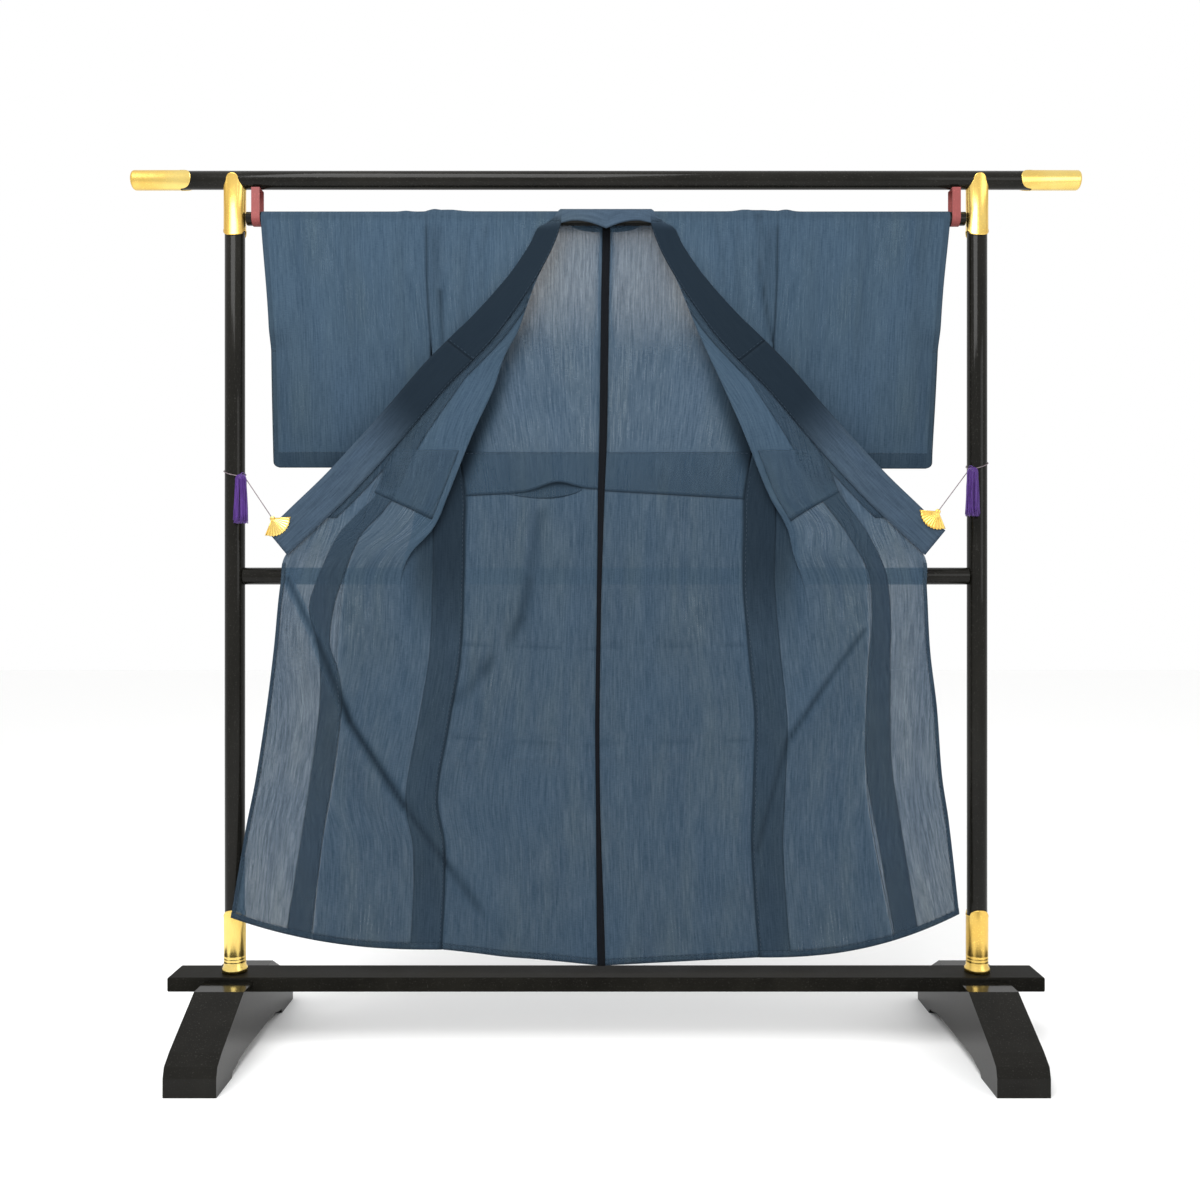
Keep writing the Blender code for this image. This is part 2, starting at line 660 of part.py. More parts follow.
def build_sleeves():
    """Flat bags over the rod, sewn shut along the bottom and below the cuff's opening."""
    for side, sign in SIDES.items():
        rows = SLEEVE[side]
        bottom = rows[-1].drop
        half = stations(0, QUARTER, SLEEVE_STRAIGHT, CUFF_OPENING, bottom, steps=(4, 2, 3, 7))
        drops = [-drop for drop in reversed(half[1:])] + half
        columns = stations(0, SLEEVE_EVEN_SHARE, 1, steps=(5, 4))
        inner_face = HANG_RADIUS - CLOTH / 2

        def bag(u, v):
            drop = drops[round(v * (len(drops) - 1))]
            row = smooth_row(rows, abs(drop))
            inner = smooth_row(FRONT[side], min(abs(drop), ARMHOLE)).side + GAP / 2
            share = columns[round(u * (len(columns) - 1))]
            x = inner + (row.outer - inner) * share
            if abs(drop) <= QUARTER:
                return over_rod(sign * x, drop, -CLOTH / 2)
            pinch = 1.0
            if abs(drop) > CUFF_OPENING + GAP:
                pinch = 1 - ramp(x, row.outer - CUFF_PINCH, row.outer)
            half_depth = inner_face * row.hollow * pinch
            return Vector((sign * x, -math.copysign(half_depth, drop), hang_height(abs(drop))))

        shape = bmesh.new()
        bmesh.ops.create_grid(
            shape, x_segments=len(columns) - 1, y_segments=len(drops) - 1, size=1
        )
        for vertex in shape.verts:
            vertex.co = bag((vertex.co.x + 1) / 2, (vertex.co.y + 1) / 2)
        bmesh.ops.remove_doubles(shape, verts=shape.verts, dist=1e-5)
        shape.normal_update()
        if sum(f.normal.y * f.calc_center_median().y for f in shape.faces) < 0:
            bmesh.ops.reverse_faces(shape, faces=shape.faces)
        mesh = bpy.data.meshes.new(f"sleeve_{side}")
        shape.to_mesh(mesh)
        shape.free()
        mesh.shade_smooth()
        obj = adopt(object_of(mesh, f"sleeve_{side}"), f"sleeve_{side}", "sheer cloth")
        wall = obj.modifiers.new("wall", "SOLIDIFY")
        wall.thickness = CLOTH
        wall.offset = 1


def build_rails():
    capped = RAIL_LENGTH - 2 * CAP_LENGTH
    adopt(bar_along_x(RAIL_RADIUS, capped - 2 * GAP, RAIL_Z), "top_rail", "lacquer")
    adopt(bar_along_x(ROD_RADIUS, ROD_LENGTH, ROD_Z), "inner_rod", "lacquer")
    cross = adopt(bar_along_x(CROSS_RADIUS, 2 * POST_X, CROSS_Z), "cross_rail", "lacquer")
    middle = (CAP_RADIUS - CAP_ROUNDING, CAP_LENGTH - CAP_ROUNDING)
    round_end = arc(middle, CAP_ROUNDING, 90, 0, 4)
    profile = [(0, CAP_LENGTH), *round_end, (CAP_RADIUS, 0), (0, 0)]
    for side, sign in SIDES.items():
        cap = adopt(turned(profile), f"rail_cap_{side}", "gold")
        cap.location = (sign * capped / 2, 0, RAIL_Z)
        cap.rotation_euler = (0, sign * math.pi / 2, 0)
        seat = cylinder(POST_RADIUS + GAP, CUTTER_LENGTH, (sign * POST_X, 0, CROSS_Z))
        boolean(cross, as_cutter(seat, f"cross_rail_seat_{side}"))


def build_posts():
    post_top = RAIL_Z - RAIL_RADIUS - GAP
    post_foot = BASE_TOP + GAP
    for side, sign in SIDES.items():
        x = sign * POST_X
        middle = (post_top + post_foot) / 2
        post = cylinder(POST_RADIUS, post_top - post_foot, (x, 0, middle))
        adopt(post, f"post_{side}", "lacquer")
        inner = POST_RADIUS + GAP
        outer = inner + FERRULE_WALL
        low, high = TOP_FERRULE
        ring = [(outer, high), (outer, low), (inner, low), (inner, high)]
        ferrule = adopt(turned(ring, closed=True), f"top_ferrule_{side}", "gold")
        ferrule.location.x = x
        saddle = bar_along_x(RAIL_RADIUS + GAP, CUTTER_LENGTH, RAIL_Z)
        saddle.location.x = x
        boolean(ferrule, as_cutter(saddle, f"ferrule_saddle_{side}"))
        low, high = BASE_FERRULE
        flared = outer + FLARE
        foot_ring = [
            (outer, high), (outer, low + FLARE_HIGH), (flared, low + FLARE_LOW),
            (flared, low), (inner, low), (inner, high),
        ]
        base = adopt(turned(foot_ring, closed=True), f"base_ferrule_{side}", "gold")
        base.location.x = x


def build_base():
    base = box((BASE_LENGTH, BASE_DEPTH, BASE_HEIGHT), (0, 0, BASE_TOP - BASE_HEIGHT / 2))
    bevel(adopt(base, "base_rail", "lacquer"), BASE_ROUNDING)
    outline = [*FOOT_CORNERS, *((-y, z) for y, z in reversed(FOOT_CORNERS))]
    notch_size = (FOOT_WIDTH + 2 * NOTCH_MARGIN, BASE_DEPTH + 2 * GAP, NOTCH_HEIGHT)
    notch_z = BASE_TOP - BASE_HEIGHT - GAP + NOTCH_HEIGHT / 2
    for side, sign in SIDES.items():
        x = sign * POST_X
        turn = Matrix(((0, 0, 1, x), (1, 0, 0, 0), (0, 1, 0, 0), (0, 0, 0, 1)))
        foot = adopt(outline_solid([outline], FOOT_WIDTH, turn), f"foot_{side}", "lacquer")
        notch = box(notch_size, (x, 0, notch_z))
        boolean(foot, as_cutter(notch, f"foot_notch_{side}"))


def build_straps():
    """Flat loops that carry the inner rod under the top rail."""
    inner = ROD_RADIUS + GAP
    outer = inner + STRAP_THICKNESS
    top = RAIL_Z - RAIL_RADIUS - GAP
    hang = top - ROD_Z
    loop = [(outer, hang), (-outer, hang), *arc((0, 0), outer, 180, 360, 16)]
    hole = [(inner, hang - STRAP_THICKNESS), (-inner, hang - STRAP_THICKNESS)]
    hole += arc((0, 0), inner, 180, 360, 16)
    for side, sign in SIDES.items():
        turn = Matrix(((0, 0, 1, sign * STRAP_X), (1, 0, 0, 0), (0, 1, 0, ROD_Z), (0, 0, 0, 1)))
        strap = outline_solid([loop, hole], STRAP_WIDTH, turn)
        adopt(strap, f"strap_{side}", "red strap")


def fan_plate(sign, radius, forward, clip):
    """A fan leaf, from pointing inwards to pointing down and a little outwards."""
    leaf = [(0, FAN_APEX), *arc((0, 0), radius, FAN_START, FAN_END, 14)]
    leaf = [(sign * -x, z) for x, z in leaf]
    place = Matrix(
        ((1, 0, 0, sign * clip.x), (0, 0, 1, -forward), (0, 1, 0, clip.z), (0, 0, 0, 1))
    )
    return outline_solid([leaf], FAN_THICKNESS, place)


def build_clips():
    """Gold fans that pinch the collar's ends between a front leaf and a smaller back leaf."""
    for side, sign in SIDES.items():
        clip = CLIPS[side]
        collar_middle = -collar_place(sign, CLIP_STATION, 1).y
        reach = COLLAR_THICKNESS / 2 + CLIP_PLAY + FAN_THICKNESS / 2
        front = fan_plate(sign, FAN_RADIUS, collar_middle + reach, clip)
        adopt(front, f"clip_{side}", "gold")
        back = fan_plate(sign, FAN_BACK_RADIUS, collar_middle - reach, clip)
        boss = cylinder(
            BOSS_RADIUS,
            2 * (reach + BOSS_PROUD) + FAN_THICKNESS,
            (sign * clip.x, -collar_middle, clip.z),
            (math.pi / 2, 0, 0),
            16,
        )
        boolean(front, as_cutter(boss, f"clip_boss_{side}"), "UNION")
        boolean(front, as_cutter(back, f"clip_back_{side}"), "UNION")
        build_cord(side, sign, clip, collar_middle)
        build_tassel(side, sign, clip, collar_middle)


def post_touch(point, turn):
    """The angle at which a line from a point, seen from above, touches the cord's way round the post."""
    way = point - Vector((POST_X, 0))
    return math.atan2(-way.y, way.x) + turn * math.acos(CORD_WRAP / way.length)


def round_post(angle):
    return Vector((POST_X + CORD_WRAP * math.cos(angle), -CORD_WRAP * math.sin(angle)))


def tassel_hang(clip, forward):
    """Seen from above: where the tassel hangs on the cord, and the tassel's own middle."""
    boss = Vector((clip.x, -forward))
    touch = round_post(post_touch(boss, -1))
    hang = touch.lerp(boss, (clip.tassel_x - touch.x) / (boss.x - touch.x))
    way = (boss - touch).normalized()
    clear = TASSEL_RADIUS + CORD_RADIUS + GAP + TASSEL_PLAY
    return hang, hang + Vector((-way.y, way.x)) * clear


def cord_line(sign, clip, forward):
    """From the clip's boss past the tassel's head, round the post and back to the tassel."""
    hang = tassel_hang(clip, forward)[0]
    knot = clip.tassel_top - KNOT_DROP
    boss = Vector((clip.x, -forward, clip.z))
    tassel = Vector((*hang, knot))
    points = [boss + (tassel - boss).normalized() * CORD_START, tassel]
    start = post_touch(boss.xy, -1)
    end = post_touch(hang, 1) - math.tau
    for i in range(CORD_STEPS + 1):
        angle = start + (end - start) * i / CORD_STEPS
        share = CORD_LIFT[0] + (CORD_LIFT[1] - CORD_LIFT[0]) * i / CORD_STEPS
        lift = math.sin(math.pi * share)
        points.append(Vector((*round_post(angle), knot + (clip.wrap_z - knot) * lift)))
    points.append(tassel + Vector((0, 0, 2 * CORD_RADIUS + 2 * GAP)))
    return [Vector((sign * p.x, p.y, p.z)) for p in points]


def build_cord(side, sign, clip, forward):
    curve = bpy.data.curves.new(f"clip_cord_{side}", "CURVE")
    curve.dimensions = "3D"
    curve.bevel_depth = CORD_RADIUS
    curve.bevel_resolution = 1
    curve.use_fill_caps = True
    points = cord_line(sign, clip, forward)
    spline = curve.splines.new("POLY")
    spline.points.add(len(points) - 1)
    for target, point in zip(spline.points, points):
        target.co = (*point, 1)
    adopt(object_of(curve, f"clip_cord_{side}"), f"clip_cord_{side}", "cord")


def build_tassel(side, sign, clip, forward):
    """A domed head with strands that stand apart below it."""
    middle = tassel_hang(clip, forward)[1]
    at = Vector((sign * middle.x, middle.y, clip.tassel_top))
    shoulder = arc((TASSEL_RADIUS - TASSEL_SHOULDER, -TASSEL_SHOULDER), TASSEL_SHOULDER, 90, 0, 4)
    profile = [(0, 0), *shoulder, (TASSEL_RADIUS, -TASSEL_HEAD), (0, -TASSEL_HEAD)]
    head = adopt(turned(profile), f"tassel_{side}", "tassel silk")
    head.location = at
    strands = bmesh.new()
    root = STRAND_OVERLAP - TASSEL_HEAD
    for ring, count in STRAND_RINGS:
        for i in range(count):
            angle = math.tau * i / count + ring / STRAND_RADIUS
            uneven = STRAND_UNEVEN * (1 + math.sin(3 * angle + ring / CORD_RADIUS)) / 2
            length = TASSEL_LENGTH + root - uneven
            middle = Vector((ring * math.cos(angle), ring * math.sin(angle), root - length / 2))
            bmesh.ops.create_cone(
                strands,
                cap_ends=True,
                cap_tris=True,
                segments=3,
                radius1=STRAND_RADIUS,
                radius2=STRAND_RADIUS,
                depth=length,
                matrix=Matrix.Translation(middle),
            )
    mesh = bpy.data.meshes.new(f"tassel_strands_{side}")
    strands.to_mesh(mesh)
    strands.free()
    skirt = as_cutter(object_of(mesh, "strands"), f"tassel_strands_{side}")
    skirt.location = at
    boolean(head, skirt, "UNION")


def main():
    clear_scene()
    new_collection("kimono_on_rack")
    new_collection("cutters")
    build_rails()
    build_posts()
    build_base()
    build_straps()
    build_backs()
    build_fronts()
    build_tucks_and_tape()
    build_collar()
    build_sleeves()
    build_clips()


main()
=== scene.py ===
"""A sheer summer kimono, hung open over the inner rod of a lacquered kimono rack.

Metres, +Z up, floor at 0. The open front faces -Y, and left and right are as seen from there.
A place on hung cloth is given by its distance from the centre line, or along its level from the
side edge, and by its drop, which is measured along the cloth from the crest of the rod.
"""

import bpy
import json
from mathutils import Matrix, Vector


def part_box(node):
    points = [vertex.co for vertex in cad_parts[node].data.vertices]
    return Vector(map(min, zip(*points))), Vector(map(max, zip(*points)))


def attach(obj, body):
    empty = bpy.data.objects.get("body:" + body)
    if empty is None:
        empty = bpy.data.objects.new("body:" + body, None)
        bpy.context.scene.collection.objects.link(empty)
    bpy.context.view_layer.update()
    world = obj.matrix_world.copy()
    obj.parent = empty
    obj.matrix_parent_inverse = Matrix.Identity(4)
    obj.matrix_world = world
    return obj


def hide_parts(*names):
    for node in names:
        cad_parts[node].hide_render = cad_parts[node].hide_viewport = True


bl_info = {
    "name": "Kimono on a rack",
    "version": (1, 0, 0),
    "blender": (4, 5, 0),
    "location": "View3D > Sidebar > Kimono",
    "description": "Dresses a packed kimono and its rack with cloth, sewing, fittings and finishes",
    "category": "Add Mesh",
}

import json
import math
from collections import namedtuple
from functools import cache

import bmesh
import bpy
from bpy.props import FloatProperty, FloatVectorProperty, IntProperty, PointerProperty
from mathutils import Matrix, Vector

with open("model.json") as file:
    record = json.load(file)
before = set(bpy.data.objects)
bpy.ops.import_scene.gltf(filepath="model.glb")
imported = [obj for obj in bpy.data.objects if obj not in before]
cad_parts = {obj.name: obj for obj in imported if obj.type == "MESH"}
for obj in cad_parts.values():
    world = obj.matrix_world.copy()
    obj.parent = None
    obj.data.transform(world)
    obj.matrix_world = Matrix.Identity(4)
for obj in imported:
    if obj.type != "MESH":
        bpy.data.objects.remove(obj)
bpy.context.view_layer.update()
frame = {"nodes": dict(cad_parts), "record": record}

SIDES = {"left": -1, "right": 1}
ROD_LOW, ROD_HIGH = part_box("inner_rod")
ROD_Z = (ROD_LOW.z + ROD_HIGH.z) / 2
ROD_RADIUS = (ROD_HIGH.z - ROD_LOW.z) / 2
POST_LOW, POST_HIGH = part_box("post_right")
POST_X = (POST_LOW.x + POST_HIGH.x) / 2
POST_RADIUS = (POST_HIGH.x - POST_LOW.x) / 2
RAIL_LOW, RAIL_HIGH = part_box("top_rail")
RAIL_Z = (RAIL_LOW.z + RAIL_HIGH.z) / 2
RAIL_RADIUS = (RAIL_HIGH.z - RAIL_LOW.z) / 2
CROSS_LOW, CROSS_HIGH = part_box("cross_rail")
CAP_LOW, CAP_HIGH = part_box("rail_cap_right")
FERRULE_LOW, FERRULE_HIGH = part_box("top_ferrule_right")
FOOT_RING_LOW, FOOT_RING_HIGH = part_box("base_ferrule_right")

# Cloth
GAP = 0.0003
CLOTH = 0.001
SEAM_LAP = 0.0005
COLLAR_THICKNESS = 0.003
TAPE_THICKNESS, COLLAR_LAYER, OVER_COLLAR_LAYER = 0.0008, 0.0024, 0.0028
HANG_RADIUS = ROD_RADIUS + GAP + CLOTH / 2
QUARTER = HANG_RADIUS * math.pi / 2
PARTING = QUARTER + GAP / 2
COLLAR_CLEAR = 0.0009
COLLAR_OUT = CLOTH / 2 + COLLAR_CLEAR + COLLAR_THICKNESS / 2
ON_PANEL = 0.0013
BACK_WIDTH, SLEEVE_WIDTH, COLLAR_WIDTH = 0.31, 0.32, 0.06
OKUMI_ON_MAP = 0.61
ARMHOLE = 0.25
SIDE_SEAM_TOP, SIDE_SEAM_CLOSING = 0.52, 0.06
OKUMI_TIP = 0.47
COLLAR_END = 0.67
NECK_HALF, NECK_DROP = 0.090, 0.030
TURN_LENGTH, TURN_SHARE, TURN_STEPS = 0.016, 0.45, 7
FIRST_STEPS, FRONT_STEPS, LAST_STEPS = 12, 20, 44
OVER_ROD_STEPS = (16, 6)
BACK_COLUMNS, TOP_STEPS, HEM_STEPS = 88, 8, 2
LEVEL_MARK, LEVEL_STEPS = 0.76, (56, 44, 116)
CENTRE_HEM = 1.451
LEVEL_FROM = 0.09
HEM_RISE = {"left": 0.063, "right": 0.085}
RISE_POWER, RISE_END = 2.3, 0.3
CROSS_CLEAR = GAP + 0.0004

# Each row is a level of one front: distances from the centre line to the side edge, to the outer
# turn of the cloth, to the inner fold, to the okumi seam and to the collar seam or free edge.
FrontRow = namedtuple("FrontRow", "drop side turn fold okumi edge")
FRONT = {
    "left": (
        FrontRow(0.030, 0.344, 0.343, 0.088, 0.088, 0.0885),
        FrontRow(0.090, 0.344, 0.343, 0.107, 0.108, 0.1080),
        FrontRow(0.150, 0.343, 0.342, 0.131, 0.140, 0.1400),
        FrontRow(0.240, 0.337, 0.336, 0.158, 0.199, 0.1990),
        FrontRow(0.290, 0.330, 0.333, 0.184, 0.242, 0.2420),
        FrontRow(0.355, 0.318, 0.335, 0.206, 0.305, 0.3050),
        FrontRow(0.440, 0.292, 0.345, 0.245, 0.378, 0.3780),
        FrontRow(0.555, 0.270, 0.368, 0.291, 0.442, 0.4830),
        FrontRow(0.620, 0.270, 0.376, 0.320, 0.461, 0.5500),
        FrontRow(0.670, 0.270, 0.388, 0.366, 0.482, 0.6040),
        FrontRow(0.720, 0.271, 0.390, 0.389, 0.497, 0.6120),
        FrontRow(0.860, 0.277, 0.390, 0.400, 0.510, 0.6280),
        FrontRow(0.980, 0.297, 0.400, 0.410, 0.504, 0.6430),
        FrontRow(1.130, 0.321, 0.420, 0.430, 0.524, 0.6650),
        FrontRow(1.230, 0.306, 0.420, 0.430, 0.541, 0.6830),
        FrontRow(1.420, 0.313, 0.430, 0.440, 0.560, 0.7120),
    ),
    "right": (
        FrontRow(0.030, 0.329, 0.328, 0.092, 0.092, 0.0925),
        FrontRow(0.090, 0.328, 0.327, 0.110, 0.111, 0.1110),
        FrontRow(0.150, 0.327, 0.326, 0.133, 0.142, 0.1420),
        FrontRow(0.240, 0.322, 0.321, 0.165, 0.201, 0.2010),
        FrontRow(0.290, 0.317, 0.319, 0.187, 0.243, 0.2430),
        FrontRow(0.355, 0.308, 0.322, 0.217, 0.305, 0.3050),
        FrontRow(0.440, 0.288, 0.332, 0.254, 0.378, 0.3780),
        FrontRow(0.555, 0.266, 0.352, 0.300, 0.445, 0.4830),
        FrontRow(0.620, 0.264, 0.364, 0.336, 0.465, 0.5480),
        FrontRow(0.670, 0.262, 0.374, 0.349, 0.485, 0.5990),
        FrontRow(0.730, 0.262, 0.380, 0.374, 0.497, 0.6040),
        FrontRow(0.860, 0.273, 0.390, 0.400, 0.498, 0.6120),
        FrontRow(0.980, 0.284, 0.390, 0.400, 0.495, 0.6260),
        FrontRow(1.130, 0.280, 0.390, 0.400, 0.497, 0.6370),
        FrontRow(1.230, 0.277, 0.395, 0.405, 0.510, 0.6500),
        FrontRow(1.435, 0.292, 0.410, 0.420, 0.548, 0.6700),
    ),
}

# How far each of those lines lies in front of the plane of the rod
DepthRow = namedtuple("DepthRow", "drop side turn fold edge")
FRONT_DEPTH = (
    DepthRow(0.022, 0.0138, 0.0138, 0.0138, 0.0138),
    DepthRow(0.050, 0.0138, 0.0138, 0.0142, 0.0145),
    DepthRow(0.090, 0.0138, 0.0138, 0.0175, 0.0190),
    DepthRow(0.150, 0.0138, 0.0138, 0.0210, 0.0275),
    DepthRow(0.240, 0.0138, 0.0140, 0.0250, 0.0380),
    DepthRow(0.355, 0.0130, 0.0200, 0.0290, 0.0450),
    DepthRow(0.440, 0.0120, 0.0240, 0.0320, 0.0460),
    DepthRow(0.555, 0.0120, 0.0260, 0.0340, 0.0460),
    DepthRow(0.670, 0.0170, 0.0290, 0.0340, 0.0460),
    DepthRow(0.725, 0.0175, 0.0270, 0.0280, 0.0455),
    DepthRow(0.860, 0.0190, 0.0260, 0.0270, 0.0400),
    DepthRow(1.130, 0.0200, 0.0240, 0.0250, 0.0310),
    DepthRow(1.435, 0.0210, 0.0240, 0.0250, 0.0290),
)

# The back leaves the rod behind it and comes to lie against the front of the cross rail.
BackRow = namedtuple("BackRow", "drop centre forward")
BACK = (
    BackRow(0.022, 0.000, -0.0138),
    BackRow(0.060, 0.000, -0.0132),
    BackRow(0.150, -0.002, -0.0090),
    BackRow(0.300, -0.004, -0.0020),
    BackRow(0.440, -0.006, 0.0060),
    BackRow(0.560, -0.010, 0.0130),
    BackRow(0.660, -0.012, 0.0178),
    BackRow(0.760, -0.014, 0.0180),
    BackRow(1.040, -0.017, 0.0200),
    BackRow(1.452, -0.0095, 0.0210),
)

# Half of the collar, from the neck behind the rod to the tip: its sewn edge and its free edge.
# A drop below zero lies behind the rod.
CollarRow = namedtuple("CollarRow", "station sewn_x sewn_drop free_x free_drop")
COLLAR = (
    CollarRow(0.00, 0.000, -0.0420, 0.000, 0.0450),
    CollarRow(0.03, 0.030, -0.0410, 0.030, 0.0340),
    CollarRow(0.06, 0.060, -0.0340, 0.062, 0.0300),
    CollarRow(0.08, 0.079, -0.0160, 0.088, 0.0350),
    CollarRow(0.10, 0.084, 0.0080, 0.111, 0.0370),
    CollarRow(0.13, 0.087, 0.0400, 0.130, 0.0450),
    CollarRow(0.18, 0.105, 0.0900, 0.146, 0.0780),
    CollarRow(0.25, 0.137, 0.1500, 0.184, 0.1370),
    CollarRow(0.35, 0.196, 0.2400, 0.247, 0.2120),
    CollarRow(0.42, 0.238, 0.2900, 0.288, 0.2530),
    CollarRow(0.51, 0.301, 0.3550, 0.345, 0.3120),
    CollarRow(0.62, 0.374, 0.4400, 0.415, 0.3950),
    CollarRow(0.77, 0.479, 0.5550, 0.522, 0.5120),
    CollarRow(0.86, 0.546, 0.6200, 0.589, 0.5770),
    CollarRow(0.93, 0.600, 0.6700, 0.638, 0.6240),
)
OVER_COLLAR_END, NECK_END = 0.44, 0.13
COLLAR_STEPS, OVER_COLLAR_COLUMNS, OVER_COLLAR_STEPS = (10, 60), 24, (40, 120, 40)

SleeveRow = namedtuple("SleeveRow", "drop outer hollow")
SLEEVE = {
    "left": (
        SleeveRow(0.000, 0.660, 1.00),
        SleeveRow(0.030, 0.660, 1.00),
        SleeveRow(0.215, 0.646, 0.95),
        SleeveRow(0.380, 0.642, 0.75),
        SleeveRow(0.467, 0.640, 0.35),
        SleeveRow(0.500, 0.639, 0.00),
    ),
    "right": (
        SleeveRow(0.000, 0.659, 1.00),
        SleeveRow(0.030, 0.658, 1.00),
        SleeveRow(0.175, 0.644, 0.95),
        SleeveRow(0.380, 0.633, 0.75),
        SleeveRow(0.467, 0.628, 0.35),
        SleeveRow(0.502, 0.627, 0.00),
    ),
}
CUFF_OPENING = 0.23
CUFF_PINCH, CUFF_CLOSING = 0.06, 0.05
SLEEVE_CORNER = 0.012

# Ridges and furrows that run through the cloth: their ends, half-width and height
Crease = namedtuple("Crease", "x0 drop0 x1 drop1 width height")
CREASES = (
    Crease(-0.600, 0.73, -0.485, 1.02, 0.040, 0.010),
    Crease(-0.485, 1.02, -0.340, 1.24, 0.045, 0.012),
    Crease(-0.300, 1.26, -0.190, 1.40, 0.045, 0.009),
    Crease(-0.130, 0.60, -0.240, 0.85, 0.035, 0.008),
    Crease(0.480, 0.82, 0.344, 1.02, 0.045, 0.011),
    Crease(0.344, 1.02, 0.285, 1.28, 0.045, 0.009),
)
CREASE_TOP, CREASE_FADE = 0.67, 0.15
FURROWS = (
    Crease(-0.600, 0.715, -0.545, 0.834, 0.006, -0.0036),
    Crease(-0.545, 0.834, -0.485, 0.990, 0.008, -0.0046),
    Crease(-0.485, 0.990, -0.382, 1.147, 0.008, -0.0042),
    Crease(-0.382, 1.147, -0.294, 1.267, 0.007, -0.0030),
    Crease(-0.294, 1.267, -0.224, 1.353, 0.010, -0.0022),
    Crease(0.487, 0.815, 0.420, 0.91, 0.006, -0.0024),
    Crease(0.420, 0.91, 0.344, 1.023, 0.006, -0.0032),
    Crease(0.344, 1.023, 0.287, 1.23, 0.006, -0.0026),
    Crease(-0.270, 0.838, 0.262, 0.840, 0.004, -0.0012),
    Crease(-0.290, 1.015, 0.270, 1.022, 0.004, -0.0010),
    Crease(-0.290, 1.060, 0.270, 1.046, 0.006, 0.0012),
    Crease(-0.126, 0.590, -0.145, 0.714, 0.013, -0.0014),
    Crease(-0.145, 0.714, -0.162, 0.786, 0.013, -0.0022),
    Crease(-0.162, 0.786, -0.195, 0.845, 0.014, -0.0026),
    Crease(-0.195, 0.845, -0.232, 0.890, 0.014, -0.0022),
    Crease(-0.232, 0.890, -0.283, 0.945, 0.012, -0.0014),
    Crease(-0.055, 0.58, -0.075, 1.30, 0.020, 0.0022),
    Crease(0.075, 0.60, 0.060, 1.40, 0.022, 0.0020),
    Crease(-0.190, 0.62, -0.215, 1.35, 0.018, 0.0024),
    Crease(0.190, 0.60, 0.205, 1.38, 0.022, 0.0028),
    Crease(-0.317, 0.165, -0.309, 0.285, 0.004, -0.0028),
    Crease(-0.268, 0.050, -0.272, 0.230, 0.007, -0.0014),
    Crease(-0.228, 0.040, -0.236, 0.160, 0.006, -0.0012),
    Crease(-0.294, 0.080, -0.290, 0.270, 0.009, 0.0020),
    Crease(0.290, 0.020, 0.288, 0.090, 0.004, -0.0022),
    Crease(0.288, 0.090, 0.318, 0.260, 0.004, -0.0026),
    Crease(0.250, 0.040, 0.254, 0.200, 0.008, -0.0013),
    Crease(0.214, 0.030, 0.224, 0.150, 0.006, -0.0012),
    Crease(-0.120, 0.10, -0.150, 0.40, 0.012, 0.0012),
    Crease(0.140, 0.08, 0.150, 0.42, 0.014, 0.0012),
)
CREASE_REACH = 3

# Where the bunched shoulder seams lift the cloth off the rod
Bump = namedtuple("Bump", "x height width")
SHOULDER_BUMPS = (
    Bump(-0.384, 0.0015, 0.010),
    Bump(-0.330, 0.0036, 0.012),
    Bump(-0.300, 0.0030, 0.022),
    Bump(0.265, 0.0030, 0.016),
    Bump(0.300, 0.0022, 0.022),
    Bump(0.345, 0.0036, 0.014),
)
BUMPS_END = 0.12

# Tucks: their upper edge, the lower edge at each end of the piece, how far the back's left one is
# pushed up in the middle, where the cloth under it sags out as a lip, and how far they stop short of
# what lies beside them
TUCK_TOP = 0.471
BACK_TUCK = {"left": (0.541, 0.556, 0.017), "right": (0.545, 0.562, 0.0)}
LIP_MIDDLE, LIP_WIDTH, LIP_SHARES, LIP_SAG = 0.32, 0.16, (0.14, 0.70), 0.75
LIP_HIDDEN, LIP_OUT, LIP_LEAN, TUCK_LOOSE = 0.003, 0.0006, 0.8, 0.3
TUCK_STEPS, LIP_STEPS, FRONT_TUCK_STEPS = (60, 40), (30, 8), (24, 40)
FRONT_TUCK = {"left": (0.602, 0.552), "right": (0.606, 0.552)}
BACK_TUCK_MARGIN, BACK_TUCK_END = 0.003, 0.992
FRONT_TUCK_MARGINS = (0.020, 0.004)
TAPE_TOP, TAPE_WIDTH, TAPE_NARROW = 0.034, 0.015, 0.008
TAPE_NARROWED = (0.4, 0.8, 1.1, 1.4)
TAPE_COLUMNS, TAPE_TOP_STEPS = 4, 6

# Painted shade and painted light on the cloth. Above zero the cloth is painted darker, towards the deepest
# shade colour, and closed up, where shade would fall: in and beside folds, furrows and seams, in hollows
# and under the tucks, on the collar, lower down and inside the fronts, where layers stack at hems and
# cuffs, and where the dark rod lies behind. Below zero it is made more see-through, a painted light for the
# bright room behind. A pair gives the drops, or the places across a piece, between which a shade comes up
# or goes. Four numbers say where it starts, is full, begins to fade and ends.
DEEPEST, DARKEST = (0.004, 0.009, 0.015), 0.95
ROD_SHADE, ROD_SEEN = 0.24, (0.020, 0.030)
OFF_ROD = (0.02, 0.05)
FOLDED = (0.21, 0.50, 0.60, 0.76)
BEHIND_FOLD, BEHIND_FOLD_SHADE = 1.012, 0.92
BEHIND_FOLD_WIDTH, BEHIND_FOLD_WIDER = 0.008, 0.016
ROLL_SHADE, ROLL_BEFORE, ROLL_AFTER = 0.8, 0.03, 0.006
FURROW_SHADE, FURROW_FULL = 0.50, 0.003
SEAM_SHADE, SEAM_COMES = 0.85, (ARMHOLE + 0.15, SIDE_SEAM_TOP)
BACK_SEAM_WIDTH, BACK_SEAM_WIDER, BACK_SEAM_NARROWS = 0.0032, 0.004, (SIDE_SEAM_TOP, 0.75)
FRONT_SEAM_WIDTH = 0.003
